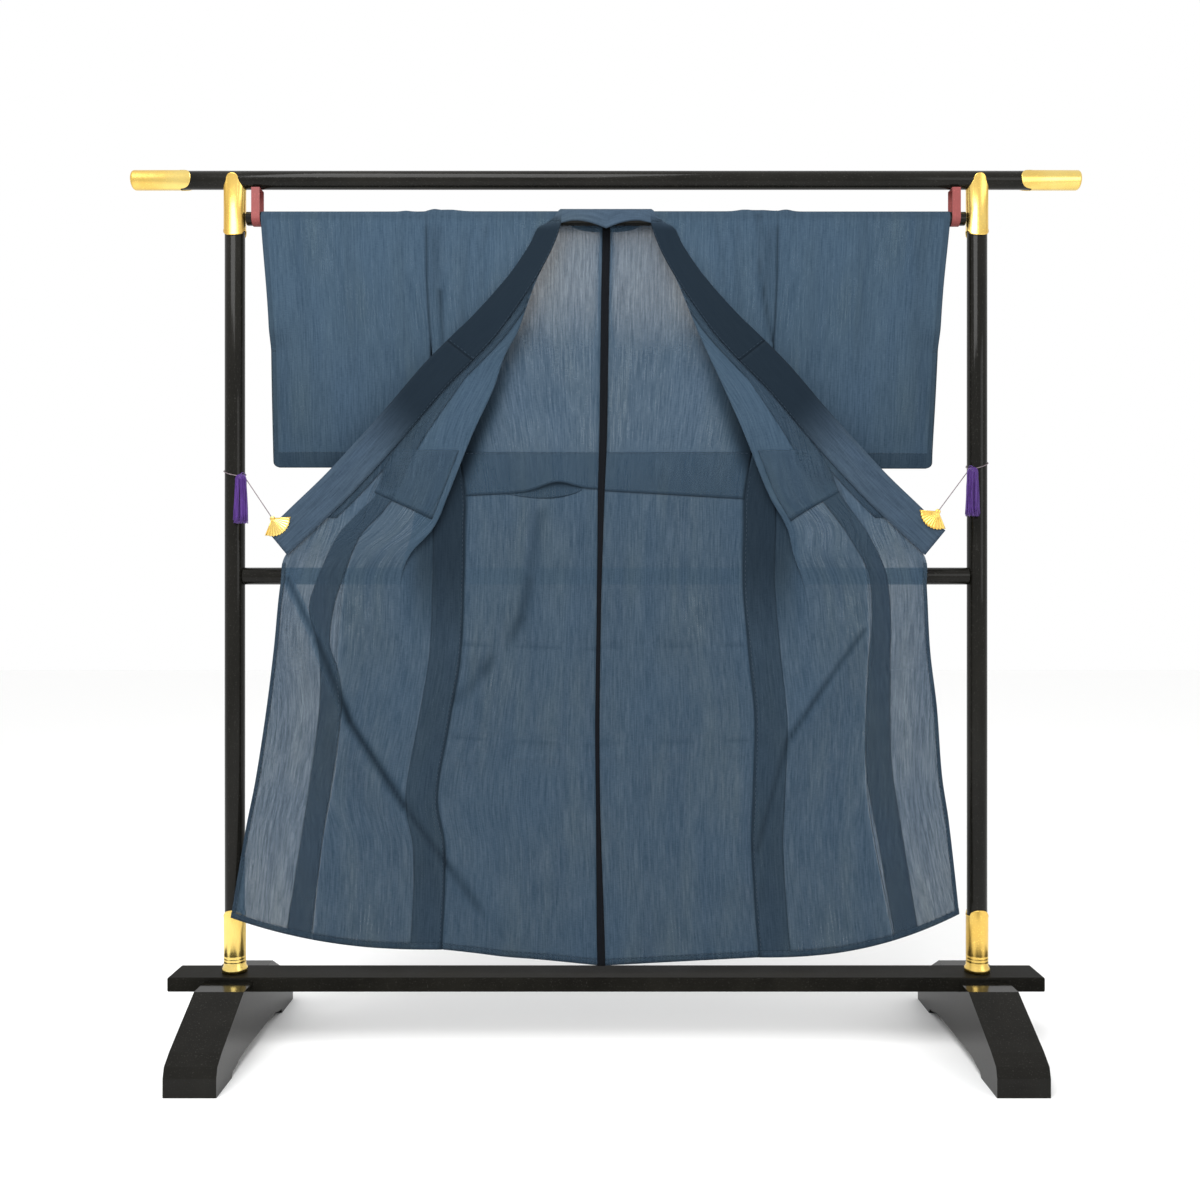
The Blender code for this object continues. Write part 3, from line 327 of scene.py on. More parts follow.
HOLLOW_SHADE, HOLLOW_GOES, HOLLOW_WIDTH = 0.74, (0.66, 0.93), (0.07, 0.15)
BACK_DIM, BACK_DIM_COMES = 0.22, (0.42, 0.60)
BACK_PAINTED_LIGHT, BACK_PAINTED_LIGHT_AT = 0.20, (0.03, 0.05, 0.15, 0.30)
FRONT_DIM, FRONT_DIM_COMES = 0.19, (0.55, 0.75)
OKUMI_PAINTED_LIGHT, OKUMI_PAINTED_LIGHT_COMES, OKUMI_LAP = 0.10, (0.62, 0.75), 0.01
ARMHOLE_EDGE_SHADE, ARMHOLE_EDGE = 0.6, 0.004
ARMHOLE_SHADE, ARMHOLE_AWAY, ARMHOLE_WIDTH = 0.34, 0.018, 0.013
BUNCHED = (0.015, 0.06, 0.10, 0.33)
TUCK_EDGE_SHADE, TUCK_EDGE = 0.65, (0.90, 0.97)
TUCK_TOP_SHADE, TUCK_TOP_EDGE = 0.15, (0.0, 0.08)
FRONT_TUCK_SHADE, FRONT_TUCK_EDGE = 0.6, (0.92, 0.98)
LIP_SHADE, LIP_EDGE_SHADE, LIP_UNDER_SHADE = 0.30, 0.4, 0.3
LIP_EDGE, LIP_UNDER = (0.85, 1), (0.1, 0.6)
SLEEVE_HEM_SHADE, CUFF_SHADE, CUFF_EDGE = 0.34, 0.30, (0.964, 0.968)
SLEEVE_EDGE_SHADE, SLEEVE_EDGE = 0.55, 0.012
SLEEVE_LOW_SHADE, SLEEVE_LOW = 0.20, (0.12, 0.45)
SLEEVE_FOLDED = (0.0, 0.05, 0.16, 0.42)
SLEEVE_END_SHADE, SLEEVE_END = 0.06, (0.80, 0.97)
# Soft folds across the sleeves, painted as shade: where each lies across the sleeve, its width and its
# strength
SoftFold = namedtuple("SoftFold", "share width strength")
SLEEVE_FOLDS = {
    "left": (SoftFold(0.16, 0.035, 0.12), SoftFold(0.47, 0.050, 0.10), SoftFold(0.78, 0.045, 0.12)),
    "right": (SoftFold(0.22, 0.040, 0.10), SoftFold(0.51, 0.040, 0.15), SoftFold(0.85, 0.045, 0.20)),
}
TAPE_SHADE, TAPE_SHADE_WIDTH = 0.45, 0.011
COLLAR_SHADE, COLLAR_GOES, NECK_SHADE_COMES = 0.92, (0.57, 0.72), (0.09, 0.14)

# Clips, with their tassels and cords
Clip = namedtuple("Clip", "x z tassel_x tassel_top wrap_z")
CLIPS = {
    "left": Clip(0.6275, 1.005, 0.6850, 1.0905, 1.102),
    "right": Clip(0.6240, 1.018, 0.6880, 1.1040, 1.118),
}
CLIP_STATION = 0.88
FAN_RADIUS, FAN_BACK_RADIUS, FAN_THICKNESS = 0.034, 0.024, 0.0011
FAN_HUB, FAN_START, FAN_END = 0.002, 4, -112
FAN_FOLDS, FAN_RELIEF, FAN_SCALLOP, FAN_SCALLOP_POWER = 11, 0.0017, 0.045, 6
FAN_FOLD_STEPS, FAN_ROWS = 6, 8
RIB_RADIUS, RIB_PAST, RIB_SIDES = 0.0009, 0.0008, 10
CLIP_PLAY = 0.0005
BOSS_RADIUS, BOSS_FLATNESS, PIN_SHARE, BOSS_SIDES = 0.0045, 0.34, 0.8, 24
CORD_RADIUS, CORD_TWIST, CORD_SWELL = 0.001, 0.007, 0.24
CORD_CLEAR, BOSS_CLEAR, TASSEL_CLEAR = 0.0001, 0.0009, 0.0006
CORD_WRAP = POST_RADIUS + GAP + CORD_RADIUS + CORD_CLEAR
CORD_START = BOSS_RADIUS + BOSS_CLEAR
CORD_STEPS, CORD_LIFT = 22, (0.15, 0.85)
CORD_COARSE, CORD_FINE, CORD_SIDES, CORD_LOBES = 0.004, 0.0011, 12, 3
TASSEL_RADIUS, TASSEL_LENGTH, TASSEL_FLARE, TASSEL_PARTING = 0.0108, 0.094, 0.24, 0.0011
TASSEL_PARTS = (0.08, 0.4)
CORD_BESIDE = TASSEL_RADIUS + CORD_RADIUS + GAP + TASSEL_CLEAR
THREAD_RADIUS, THREAD_UNEVEN, THREAD_STRAY, GOLDEN_ANGLE = 0.0006, 0.006, 0.0005, 2.39996
THREAD_NARROWEST, THREAD_SIDES, LEG_STEPS, TOP_OF_THREAD_STEPS = 0.001, 4, 6, 8
KNOT_DROP, RING_WIRE, RING_SIDES, RING_STEPS, EYE_SIDES = 0.006, 0.0007, 8, 28, 10

# The rack's round bars, and the rims of its gilt sleeves. A tongue's reach is the angle, either way
# from the front or the back, at which it has run out.
BAR_SIDES, BAR_ROUNDING = 64, 0.0012
CROSS_INTO_POST, RAIL_INTO_CAP = 0.001, 0.004
GILT_SIDES, BEAD = 96, 0.0007
RIM_TONGUE, CAP_TONGUE = 0.013, 0.024
FERRULE_REACH, FOOT_RING_REACH, CAP_REACH = 1.2, 1.0, 1.25
CAP_ROUNDING, CAP_WALL, CAP_STEPS = 0.006, 0.002, 6
FOOT_FLARE, FOOT_SLOPE, FOOT_PLAIN = 0.008, 0.012, 0.04
GROOVES, GROOVE_START, GROOVE_PITCH, GROOVE_DEPTH, GROOVE_HALF = 3, 0.018, 0.006, 0.0006, 0.0012

# The weave's slubs, fine upright yarns, level yarns, broad stripes and patches. Each is a noise with
# its cycles a metre across and along the cloth, its detail, its roughness and the range of it that is
# stretched to full contrast. The pale yarns turn greyer in patches, by a share of each channel.
Yarn = namedtuple("Yarn", "scale detail rough range")
WEAVE = (
    Yarn((330, 15, 1), 3.0, 0.7, (0.34, 0.66)),
    Yarn((1100, 50, 1), 1.0, 0.5, (0.3, 0.7)),
    Yarn((110, 640, 1), 2.0, 0.6, (0.34, 0.66)),
    Yarn((26, 2.2, 1), 2.0, 0.5, (0.3, 0.7)),
    Yarn((7, 4, 1), 1.0, 0.5, (0.3, 0.7)),
)
GREYED = (1.20, 1.10, 0.93)
# The weave's gaps are stretched over a range to the cloth's opacity, and painted shade closes the cloth up
# by a share of itself
GAPS_RANGE, PAINTED_SHADE_COVER = (0.15, 0.85), 0.3
CLOTH_BUMP = (0.35, 0.0004)
SPECK_TINT, SPECK_PALE, HAZE_ROUGHNESS = 1.5, 0.01, 0.10
GOLD_TINT, CORD_TINT = (0.86, 0.72, 0.5), (0.20, 0.16, 0.17)

# The stage: its lamps, with each one's share of the key light's power, and the camera
Lamp = namedtuple("Lamp", "name place size share")
LAMPS = (
    Lamp("key light", (-0.7, -1.8, 3.1), 2.0, 1.0),
    Lamp("fill light", (2.6, -2.4, 1.6), 1.6, 0.18),
)
LIT_POINT = Vector((0, 0, 0.9))
FLOOR_HALF = 12
CAMERA_LENS, CAMERA_PLACE = 35.1, (-0.0115, -2.25, 0.852)

# Turned-in cloth along the seams and edges
BandRow = namedtuple("BandRow", "drop outer inner")
OKUMI_BAND = {
    "left": (
        BandRow(0.270, 0.2224, 0.2204),
        BandRow(0.350, 0.2990, 0.2760),
        BandRow(0.440, 0.3770, 0.3380),
        BandRow(0.500, 0.4160, 0.3720),
        BandRow(0.555, 0.4330, 0.3970),
        BandRow(0.590, 0.4670, 0.4230),
        BandRow(0.633, 0.5060, 0.4630),
        BandRow(0.723, 0.5480, 0.5006),
        BandRow(0.773, 0.5600, 0.5150),
        BandRow(0.840, 0.5440, 0.5210),
        BandRow(0.900, 0.5390, 0.5040),
        BandRow(0.979, 0.5440, 0.5006),
        BandRow(1.208, 0.5760, 0.5360),
        BandRow(1.410, 0.6060, 0.5600),
    ),
    "right": (
        BandRow(0.280, 0.2320, 0.2300),
        BandRow(0.355, 0.3030, 0.2800),
        BandRow(0.440, 0.3760, 0.3360),
        BandRow(0.500, 0.4180, 0.3700),
        BandRow(0.555, 0.4420, 0.3990),
        BandRow(0.633, 0.4960, 0.4570),
        BandRow(0.720, 0.5320, 0.4990),
        BandRow(0.900, 0.5380, 0.4950),
        BandRow(1.080, 0.5420, 0.4930),
        BandRow(1.240, 0.5640, 0.5180),
        BandRow(1.430, 0.5920, 0.5480),
    ),
}
OKUMI_BAND_MARK = 0.60
SIDE_ALLOWANCE = (0.002, 0.060)
COLLAR_ALLOWANCE, COLLAR_ALLOWANCE_WIDENS = 0.021, (0.04, 0.16)
COLLAR_ALLOWANCE_TOP, COLLAR_ALLOWANCE_END = 0.06, 0.60
EDGE_FOLD, EDGE_FOLD_BELOW, EDGE_CLEAR = 0.007, 0.015, 0.0005
HEM_FOLD, BAND_CLEAR = 0.012, 0.002
SLEEVE_HEM, SLEEVE_HEM_EDGE, SLEEVE_HEM_INSIDE = 0.029, 0.001, 0.0012
SLEEVE_HEM_SHARES, SLEEVE_HEM_STEPS = (0.004, 0.99), (30, 4)
CUFF_FOLD, CUFF_MARGIN, CUFF_CLOTH, CUFF_STEPS = 0.009, 0.002, 0.31, 3
STITCH_PITCH, STITCH_LENGTH, STITCH_RADIUS, STITCH_SIDES = 0.0085, 0.0045, 0.00032, 5
STITCH_LIFT, STITCH_INSIDE, STITCHED_STEPS = 0.0005, 0.001, 60
SEAM_STITCHES_TOP, SEAM_STITCHES_CLEAR, FREE_STITCHES_BELOW = 0.30, 0.004, 0.02
OKUMI_STITCHES, SIDE_STITCHES, TUCK_STITCHES = 0.0014, 0.0045, 0.003
COLLAR_STITCHES, COLLAR_STITCH_SHARE = (0.14, 0.004), 0.04
OVER_COLLAR_STITCHES, OVER_COLLAR_STITCH_STEPS = 0.005, 12
SLEEVE_STITCH_SHARES, SLEEVE_STITCH_OUT = (0.01, 0.97), 0.0006
MERGE, WELD = 1e-6, 1e-5


class ClothSettings(bpy.types.PropertyGroup):
    """The garment's layers and the colours of its yarns"""

    wall: FloatProperty(
        name="Wall", description="Thickness of one layer", default=0.0005, unit="LENGTH"
    )
    dark_yarn: FloatVectorProperty(
        name="Dark yarn", description="Colour of the thin yarns",
        subtype="COLOR", default=(0.015, 0.032, 0.053),
    )
    pale_yarn: FloatVectorProperty(
        name="Pale yarn", description="Colour of the thick slubbed yarns",
        subtype="COLOR", default=(0.057, 0.094, 0.139),
    )
    cover_open: FloatProperty(
        name="Thin cover", description="Opacity where the yarns stand apart", default=0.75
    )
    cover_close: FloatProperty(
        name="Full cover", description="Opacity where the yarns crowd", default=0.95
    )
    collar_dark: FloatVectorProperty(
        name="Collar dark", description="Dark yarns of the layered collar",
        subtype="COLOR", default=(0.018, 0.031, 0.048),
    )
    collar_pale: FloatVectorProperty(
        name="Collar pale", description="Pale yarns of the layered collar",
        subtype="COLOR", default=(0.048, 0.076, 0.114),
    )
    tape: FloatVectorProperty(
        name="Tape", description="Colour of the centre seam's tape",
        subtype="COLOR", default=(0.002, 0.0025, 0.0036),
    )


class FittingSettings(bpy.types.PropertyGroup):
    """The finishes of the rack, its fittings and the tassels"""

    lacquer: FloatVectorProperty(
        name="Lacquer", description="Colour of the rack",
        subtype="COLOR", default=(0.0055, 0.0052, 0.0042),
    )
    gold: FloatVectorProperty(
        name="Gold", description="Colour of the gilt brass",
        subtype="COLOR", default=(0.83, 0.63, 0.20),
    )
    silk: FloatVectorProperty(
        name="Silk", description="Colour of the tassels",
        subtype="COLOR", default=(0.052, 0.014, 0.140),
    )
    strap: FloatVectorProperty(
        name="Strap", description="Colour of the rod's straps",
        subtype="COLOR", default=(0.17, 0.030, 0.028),
    )
    cord: FloatVectorProperty(
        name="Cord", description="Colour of the clips' cords",
        subtype="COLOR", default=(0.11, 0.085, 0.095),
    )
    threads: IntProperty(
        name="Threads", description="Threads folded over in each tassel", default=84
    )


class StageSettings(bpy.types.PropertyGroup):
    """The floor and the light"""

    floor: FloatVectorProperty(
        name="Floor", description="Colour of the floor", subtype="COLOR", default=(0.97, 0.97, 0.965)
    )
    surround: FloatProperty(name="Surround", description="Brightness all round", default=1.0)
    key: FloatProperty(
        name="Key light", description="Power of the main light", default=100.0, unit="POWER"
    )


# Tables and levels


def smooth_row(rows, place):
    """The row at a place between those of a table, on a smooth curve through them."""
    kind = type(rows[0])
    if place <= rows[0][0]:
        return kind(place, *rows[0][1:])
    if place >= rows[-1][0]:
        return kind(place, *rows[-1][1:])
    i = next(n for n in range(len(rows) - 1) if place <= rows[n + 1][0])
    before, after = rows[max(i - 1, 0)], rows[min(i + 2, len(rows) - 1)]
    a, b = rows[i], rows[i + 1]
    span = b[0] - a[0]
    t = (place - a[0]) / span
    values = []
    for p, q, r, s in zip(before[1:], a[1:], b[1:], after[1:]):
        leave = (r - p) / (b[0] - before[0]) * span
        arrive = (s - q) / (after[0] - a[0]) * span
        values.append(
            q * (2 * t**3 - 3 * t**2 + 1)
            + leave * (t**3 - 2 * t**2 + t)
            + r * (3 * t**2 - 2 * t**3)
            + arrive * (t**3 - t**2)
        )
    return kind(place, *values)


def ramp(value, low, high):
    t = min(max((value - low) / (high - low), 0), 1)
    return t * t * (3 - 2 * t)


def plateau(value, start, full, fade, end):
    """Comes up from start to full, and goes from fade to end."""
    return ramp(value, start, full) * (1 - ramp(value, fade, end))


def bell(away, width):
    """1 in the middle, and falling off smoothly over a width."""
    return math.exp(-((away / width) ** 2))


def stations(*marks, steps):
    """Values from mark to mark, each stretch cut into its own number of steps."""
    values = [marks[0]]
    for low, high, count in zip(marks, marks[1:], steps):
        values += [low + (high - low) * (i + 1) / count for i in range(count)]
    return values


# Places on the hung cloth


def hang_height(drop):
    return ROD_Z + QUARTER - drop


def shoulder_lift(x, drop):
    """How far the bunched shoulder seams lift the cloth off the rod."""
    lift = sum(bump.height * bell(x - bump.x, bump.width) for bump in SHOULDER_BUMPS)
    return lift * (1 - ramp(abs(drop), QUARTER, BUMPS_END))


def over_rod(x, drop, out=0.0):
    """A point of cloth on the rod, or straight below its front or, for a drop below zero, its back."""
    radius = HANG_RADIUS + out + shoulder_lift(x, drop)
    if abs(drop) <= QUARTER:
        angle = drop / HANG_RADIUS
        return Vector((x, -radius * math.sin(angle), ROD_Z + radius * math.cos(angle)))
    return Vector((x, -math.copysign(radius, drop), hang_height(abs(drop))))


def ridges(x, drop, creases):
    """The tallest ridge and the deepest furrow of a table at a place, added."""
    high = low = 0.0
    for crease in creases:
        run = Vector((crease.x1 - crease.x0, crease.drop1 - crease.drop0))
        way = Vector((x - crease.x0, drop - crease.drop0))
        along = min(max(way.dot(run) / run.dot(run), 0), 1)
        away = (way - run * along).length
        if away > CREASE_REACH * crease.width:
            continue
        height = crease.height * bell(away, crease.width)
        high, low = max(high, height), min(low, height)
    return high + low


def crease_forward(x, drop):
    main = ridges(x, drop, CREASES) * ramp(drop, CREASE_TOP, CREASE_TOP + CREASE_FADE)
    return main + ridges(x, drop, FURROWS)


def back_forward(drop):
    return smooth_row(BACK, drop).forward


def line_lengths(points):
    """The length of a line up to each of its points."""
    reached = [0.0]
    for a, b in zip(points, points[1:]):
        reached.append(reached[-1] + (b - a).length)
    return reached


def straight(a, b, count):
    """Points from a up to, but without, b."""
    return [a.lerp(b, i / count) for i in range(count)]


def turn_at(before, corner, after):
    """Points round a corner that is rounded over a short length on each side."""
    leave, arrive = before - corner, after - corner
    start = corner + leave.normalized() * min(TURN_LENGTH, TURN_SHARE * leave.length)
    end = corner + arrive.normalized() * min(TURN_LENGTH, TURN_SHARE * arrive.length)
    shares = [i / (TURN_STEPS - 1) for i in range(TURN_STEPS)]
    return [start * (1 - t) ** 2 + corner * 2 * t * (1 - t) + end * t * t for t in shares]


@cache
def front_section(side, drop):
    """A level's path from side edge to free edge, the length to each point of it and to the okumi."""
    row = smooth_row(FRONT[side], drop)
    depth = smooth_row(FRONT_DEPTH, drop)
    sewn = ramp(drop, SIDE_SEAM_TOP - SIDE_SEAM_CLOSING, SIDE_SEAM_TOP)
    beside = row.side - SEAM_LAP
    side_forward = depth.side * (1 - sewn) + back_forward(drop) * sewn
    corners = [
        Vector((beside, side_forward)),
        Vector((row.turn, depth.turn)),
        Vector((row.fold, depth.fold)),
        Vector((row.edge, depth.edge)),
    ]
    outer = turn_at(*corners[:3])
    inner = turn_at(*corners[1:])
    path = straight(corners[0], outer[0], FIRST_STEPS) + outer[:-1]
    path += straight(outer[-1], inner[0], FRONT_STEPS) + inner[:-1]
    path += straight(inner[-1], corners[3], LAST_STEPS) + [corners[3]]
    lengths = line_lengths(path)
    share = (row.edge - row.okumi) / max(row.edge - row.fold, 0.001)
    okumi = lengths[-1] - share * (corners[3] - corners[2]).length
    return path, lengths, okumi


def walk(path, lengths, distance):
    """The point at a distance along a path."""
    for i, reached in enumerate(lengths[1:]):
        if distance <= reached and reached > lengths[i]:
            return path[i].lerp(path[i + 1], (distance - lengths[i]) / (reached - lengths[i]))
    return path[-1]


def front_place(side, drop, distance, out=0.0):
    """The point of a front at a drop and a distance along its level from the side edge."""
    path, lengths, _ = front_section(side, drop)
    distance = min(max(distance, 0), lengths[-1])
    away, forward = walk(path, lengths, distance)
    x = SIDES[side] * away
    if drop <= QUARTER:
        return over_rod(x, drop, out)
    share = distance / lengths[-1]
    hem = FRONT[side][-1].drop
    fall = ramp(drop, COLLAR_END, hem + RISE_END) / ramp(hem, COLLAR_END, hem + RISE_END)
    rise = HEM_RISE[side] * share**RISE_POWER * fall
    forward += crease_forward(x, drop) + shoulder_lift(x, drop) + out
    return Vector((x, -forward, hang_height(drop) + rise))


def back_place(side, drop, share, out=0.0):
    """The point of a back, at a share of the way from the centre seam to the side."""
    if drop <= QUARTER:
        return over_rod(SIDES[side] * FRONT[side][0].side * share, -drop, -out)
    side_hem = FRONT[side][-1].drop
    sink = (CENTRE_HEM / side_hem - 1) * ramp(drop, ARMHOLE, side_hem)
    level = drop * (1 + sink * (1 - share))
    edge = SIDES[side] * (smooth_row(FRONT[side], drop).side + SEAM_LAP)
    centre = smooth_row(BACK, level).centre - SIDES[side] * SEAM_LAP
    x = centre + (edge - centre) * share
    forward = back_forward(level) + crease_forward(x, level) - shoulder_lift(x, drop)
    if CROSS_LOW.z < hang_height(level) < CROSS_HIGH.z:
        forward = max(forward, CROSS_HIGH.y + CROSS_CLEAR)
    forward += out
    return Vector((x, -forward, hang_height(level)))


def neck_edge(x):
    """The drop behind the rod at which a back begins: lower inside the neckline."""
    inside = 1 - min(abs(x) / NECK_HALF, 1) ** 2
    return max(NECK_DROP * math.sqrt(inside), PARTING)


def collar_place(sign, station, across, out=COLLAR_OUT):
    """The point of the collar's middle surface, from its sewn edge at 0 to its free edge at 1."""
    row = smooth_row(COLLAR, station)
    x = sign * (row.sewn_x + (row.free_x - row.sewn_x) * across)
    drop = row.sewn_drop + (row.free_drop - row.sewn_drop) * across
    place = over_rod(x, drop, out)
    if drop > QUARTER:
        place.y = -smooth_row(FRONT_DEPTH, drop).edge - out
    return place


def sleeve_place(side, share, drop, inward=CLOTH / 2):
    """The point of a sleeve at a share of its width and a drop, which is below zero behind the rod."""
    rows = SLEEVE[side]
    row = smooth_row(rows, abs(drop))
    inner = smooth_row(FRONT[side], min(abs(drop), ARMHOLE)).side - SEAM_LAP
    lower = max(abs(drop) - (rows[-1].drop - SLEEVE_CORNER), 0) / SLEEVE_CORNER
    outer = row.outer - SLEEVE_CORNER * (1 - math.sqrt(max(1 - lower * lower, 0)))
    x = inner + (outer - inner) * share
    if abs(drop) <= QUARTER:
        return over_rod(SIDES[side] * x, drop, -inward)
    pinch = 1.0
    if abs(drop) > CUFF_OPENING:
        closed = ramp(abs(drop), CUFF_OPENING, CUFF_OPENING + CUFF_CLOSING)
        pinch = 1 - closed * ramp(x, row.outer - CUFF_PINCH, row.outer)
    x *= SIDES[side]
    half_depth = (HANG_RADIUS - inward + shoulder_lift(x, drop)) * row.hollow * pinch
    return Vector((x, -math.copysign(half_depth, drop), hang_height(abs(drop))))


# Finishes


def scaled(tree, source, scale):
    mapping = tree.nodes.new("ShaderNodeMapping")
    mapping.inputs["Scale"].default_value = scale
    tree.links.new(source, mapping.inputs["Vector"])
    return mapping.outputs["Vector"]


def noise(tree, source, scale, detail=2.0, roughness=0.5):
    """A noise with its own size along each axis, in cycles a metre."""
    made = tree.nodes.new("ShaderNodeTexNoise")
    made.inputs["Scale"].default_value = 1.0
    made.inputs["Detail"].default_value = detail
    made.inputs["Roughness"].default_value = roughness
    tree.links.new(scaled(tree, source, scale), made.inputs["Vector"])
    return made.outputs["Fac"]


def math_node(tree, operation, a, b, clamp=False):
    made = tree.nodes.new("ShaderNodeMath")
    made.operation = operation
    made.use_clamp = clamp
    for socket, value in zip(made.inputs, (a, b)):
        if isinstance(value, (int, float)):
            socket.default_value = value
        else:
            tree.links.new(value, socket)
    return made.outputs[0]


def spread(tree, source, low, high, start=0.0, end=1.0):
    """Stretches a range of values to another, and holds it there."""
    made = tree.nodes.new("ShaderNodeMapRange")
    for name, value in (("From Min", low), ("From Max", high), ("To Min", start), ("To Max", end)):
        made.inputs[name].default_value = value
    tree.links.new(source, made.inputs["Value"])
    return made.outputs["Result"]


def blend(tree, *parts):
    """A sum of values, each times its weight, held between 0 and 1."""
    weighed = [math_node(tree, "MULTIPLY", value, weight) for value, weight in parts]
    total = weighed[0]
    for share in weighed[1:]:
        total = math_node(tree, "ADD", total, share, clamp=True)
    return total


def mixed(tree, factor, a, b):
    made = tree.nodes.new("ShaderNodeMix")
    made.data_type = "RGBA"
    for name, value in (("Factor_Float", factor), ("A_Color", a), ("B_Color", b)):
        socket = next(s for s in made.inputs if s.identifier == name)
        if isinstance(value, bpy.types.NodeSocket):
            tree.links.new(value, socket)
        else:
            socket.default_value = value if isinstance(value, float) else (*value, 1.0)
    return next(s for s in made.outputs if s.identifier == "Result_Color")


def new_group(name, inputs, outputs):
    group = bpy.data.node_groups.new(name, "ShaderNodeTree")
    for label, kind in inputs:
        group.interface.new_socket(label, in_out="INPUT", socket_type=kind)
    for label in outputs:
        group.interface.new_socket(label, in_out="OUTPUT", socket_type="NodeSocketFloat")
    return group, group.nodes.new("NodeGroupInput"), group.nodes.new("NodeGroupOutput")


def slubbed_weave():
    """Upright slubbed yarns crossed by finer level ones, on a UV map in metres."""
    found = bpy.data.node_groups.get("slubbed weave")
    if found:
        return found
    group, into, out = new_group(
        "slubbed weave", [("Cloth", "NodeSocketVector")], ["Tone", "Gaps", "Relief", "Patch"]
    )
    slubs, yarns, wefts, broad, patches = (
        spread(group, noise(group, into.outputs["Cloth"], yarn.scale, yarn.detail, yarn.rough), *yarn.range)
        for yarn in WEAVE
    )
    tone = blend(group, (slubs, 0.52), (yarns, 0.18), (wefts, 0.24), (broad, 0.14))
    group.links.new(tone, out.inputs["Tone"])
    group.links.new(blend(group, (tone, 0.8), (patches, 0.2)), out.inputs["Gaps"])
    group.links.new(blend(group, (yarns, 0.6), (wefts, 0.4)), out.inputs["Relief"])
    group.links.new(math_node(group, "MULTIPLY", broad, patches), out.inputs["Patch"])
    return group


def worn_surface():
    """Dust, handling and fine unevenness on Object coordinates, for lacquer, gilding and silk."""
    found = bpy.data.node_groups.get("worn surface")
    if found:
        return found
    group, into, out = new_group(
        "worn surface", [("Place", "NodeSocketVector")], ["Haze", "Speck", "Relief"]
    )
    place = into.outputs["Place"]
    haze = noise(group, place, (9, 9, 5), detail=3.0, roughness=0.6)
    speck = noise(group, place, (420, 420, 420), detail=1.0)
    relief = noise(group, place, (60, 60, 60), detail=3.0, roughness=0.55)
    group.links.new(spread(group, haze, 0.35, 0.68), out.inputs["Haze"])
    group.links.new(spread(group, speck, 0.64, 0.72), out.inputs["Speck"])
    group.links.new(relief, out.inputs["Relief"])
    return group


def new_material(name, roughness, metallic=0.0):
    made = bpy.data.materials.new(name)
    made.use_nodes = True
    shader = made.node_tree.nodes["Principled BSDF"]
    shader.inputs["Roughness"].default_value = roughness
    shader.inputs["Metallic"].default_value = metallic
    return made, made.node_tree, shader


def placed_group(tree, group, source):
    made = tree.nodes.new("ShaderNodeGroup")
    made.node_tree = group
    tree.links.new(source, made.inputs[0])
    return made


def bump(tree, shader, height, strength, distance):
    made = tree.nodes.new("ShaderNodeBump")
    made.inputs["Strength"].default_value = strength
    made.inputs["Distance"].default_value = distance
    tree.links.new(height, made.inputs["Height"])
    tree.links.new(made.outputs["Normal"], shader.inputs["Normal"])


def toned(colour, share):
    return [v * share for v in colour]


def cloth_material(name, dark, pale, cover):
    """Woven cloth on the piece's own UV map, open between its yarns.

    The cover is its opacity where the yarns stand apart and where they crowd. Painted shade above zero
    darkens the cloth towards the deepest shade colour and closes it up, and painted light below zero makes
    it more see-through.
    """
    found = bpy.data.materials.get(name)
    if found:
        return found
    made, tree, shader = new_material(name, roughness=0.9)
    shader.inputs["Sheen Weight"].default_value = 0.02
    shader.inputs["Specular IOR Level"].default_value = 0.08
    uv = tree.nodes.new("ShaderNodeUVMap")
    uv.uv_map = "cloth"
    weave = placed_group(tree, slubbed_weave(), uv.outputs["UV"])
    attribute = tree.nodes.new("ShaderNodeAttribute")
    attribute.attribute_name = "shade"
    shade = attribute.outputs["Fac"]
    greyed = [v * share for v, share in zip(pale, GREYED)]
    woven = mixed(tree, weave.outputs["Tone"], dark, mixed(tree, weave.outputs["Patch"], pale, greyed))
    tree.links.new(mixed(tree, shade, woven, DEEPEST), shader.inputs["Base Color"])
    apart, crowded = cover
    hanging = spread(tree, weave.outputs["Gaps"], *GAPS_RANGE, crowded, apart)
    painted_light_opening = math_node(tree, "MINIMUM", shade, 0.0)
    shade_closing = math_node(tree, "MULTIPLY", math_node(tree, "MAXIMUM", shade, 0.0), PAINTED_SHADE_COVER)
    changed = math_node(tree, "ADD", painted_light_opening, shade_closing)
    opacity = math_node(tree, "ADD", hanging, changed, clamp=True)
    tree.links.new(opacity, shader.inputs["Alpha"])
    bump(tree, shader, weave.outputs["Relief"], *CLOTH_BUMP)
    return made


def sheer_cloth():
    cloth = bpy.context.scene.kimono_cloth
    cover = (cloth.cover_open, cloth.cover_close)
    return cloth_material("sheer slubbed weave", cloth.dark_yarn, cloth.pale_yarn, cover)


def turned_in_cloth():
    cloth = bpy.context.scene.kimono_cloth
    # Toned darker than the cloth itself: painted shade for the layered folds and allowances, which let less
    # light through
    dark, pale = toned(cloth.dark_yarn, 0.60), toned(cloth.pale_yarn, 0.62)
    return cloth_material("turned-in weave", dark, pale, cover=(0.80, 0.95))


def tuck_cloth():
    cloth = bpy.context.scene.kimono_cloth
    dark, pale = toned(cloth.dark_yarn, 0.9), toned(cloth.pale_yarn, 0.8)
    return cloth_material("tuck weave", dark, pale, cover=(0.7, 0.9))


def collar_cloth():
    cloth = bpy.context.scene.kimono_cloth
    return cloth_material("collar weave", cloth.collar_dark, cloth.collar_pale, cover=(0.94, 1.0))


def tape_cloth():
    colour = bpy.context.scene.kimono_cloth.tape
    return cloth_material("tape weave", colour, toned(colour, 1.9), cover=(0.98, 1.0))


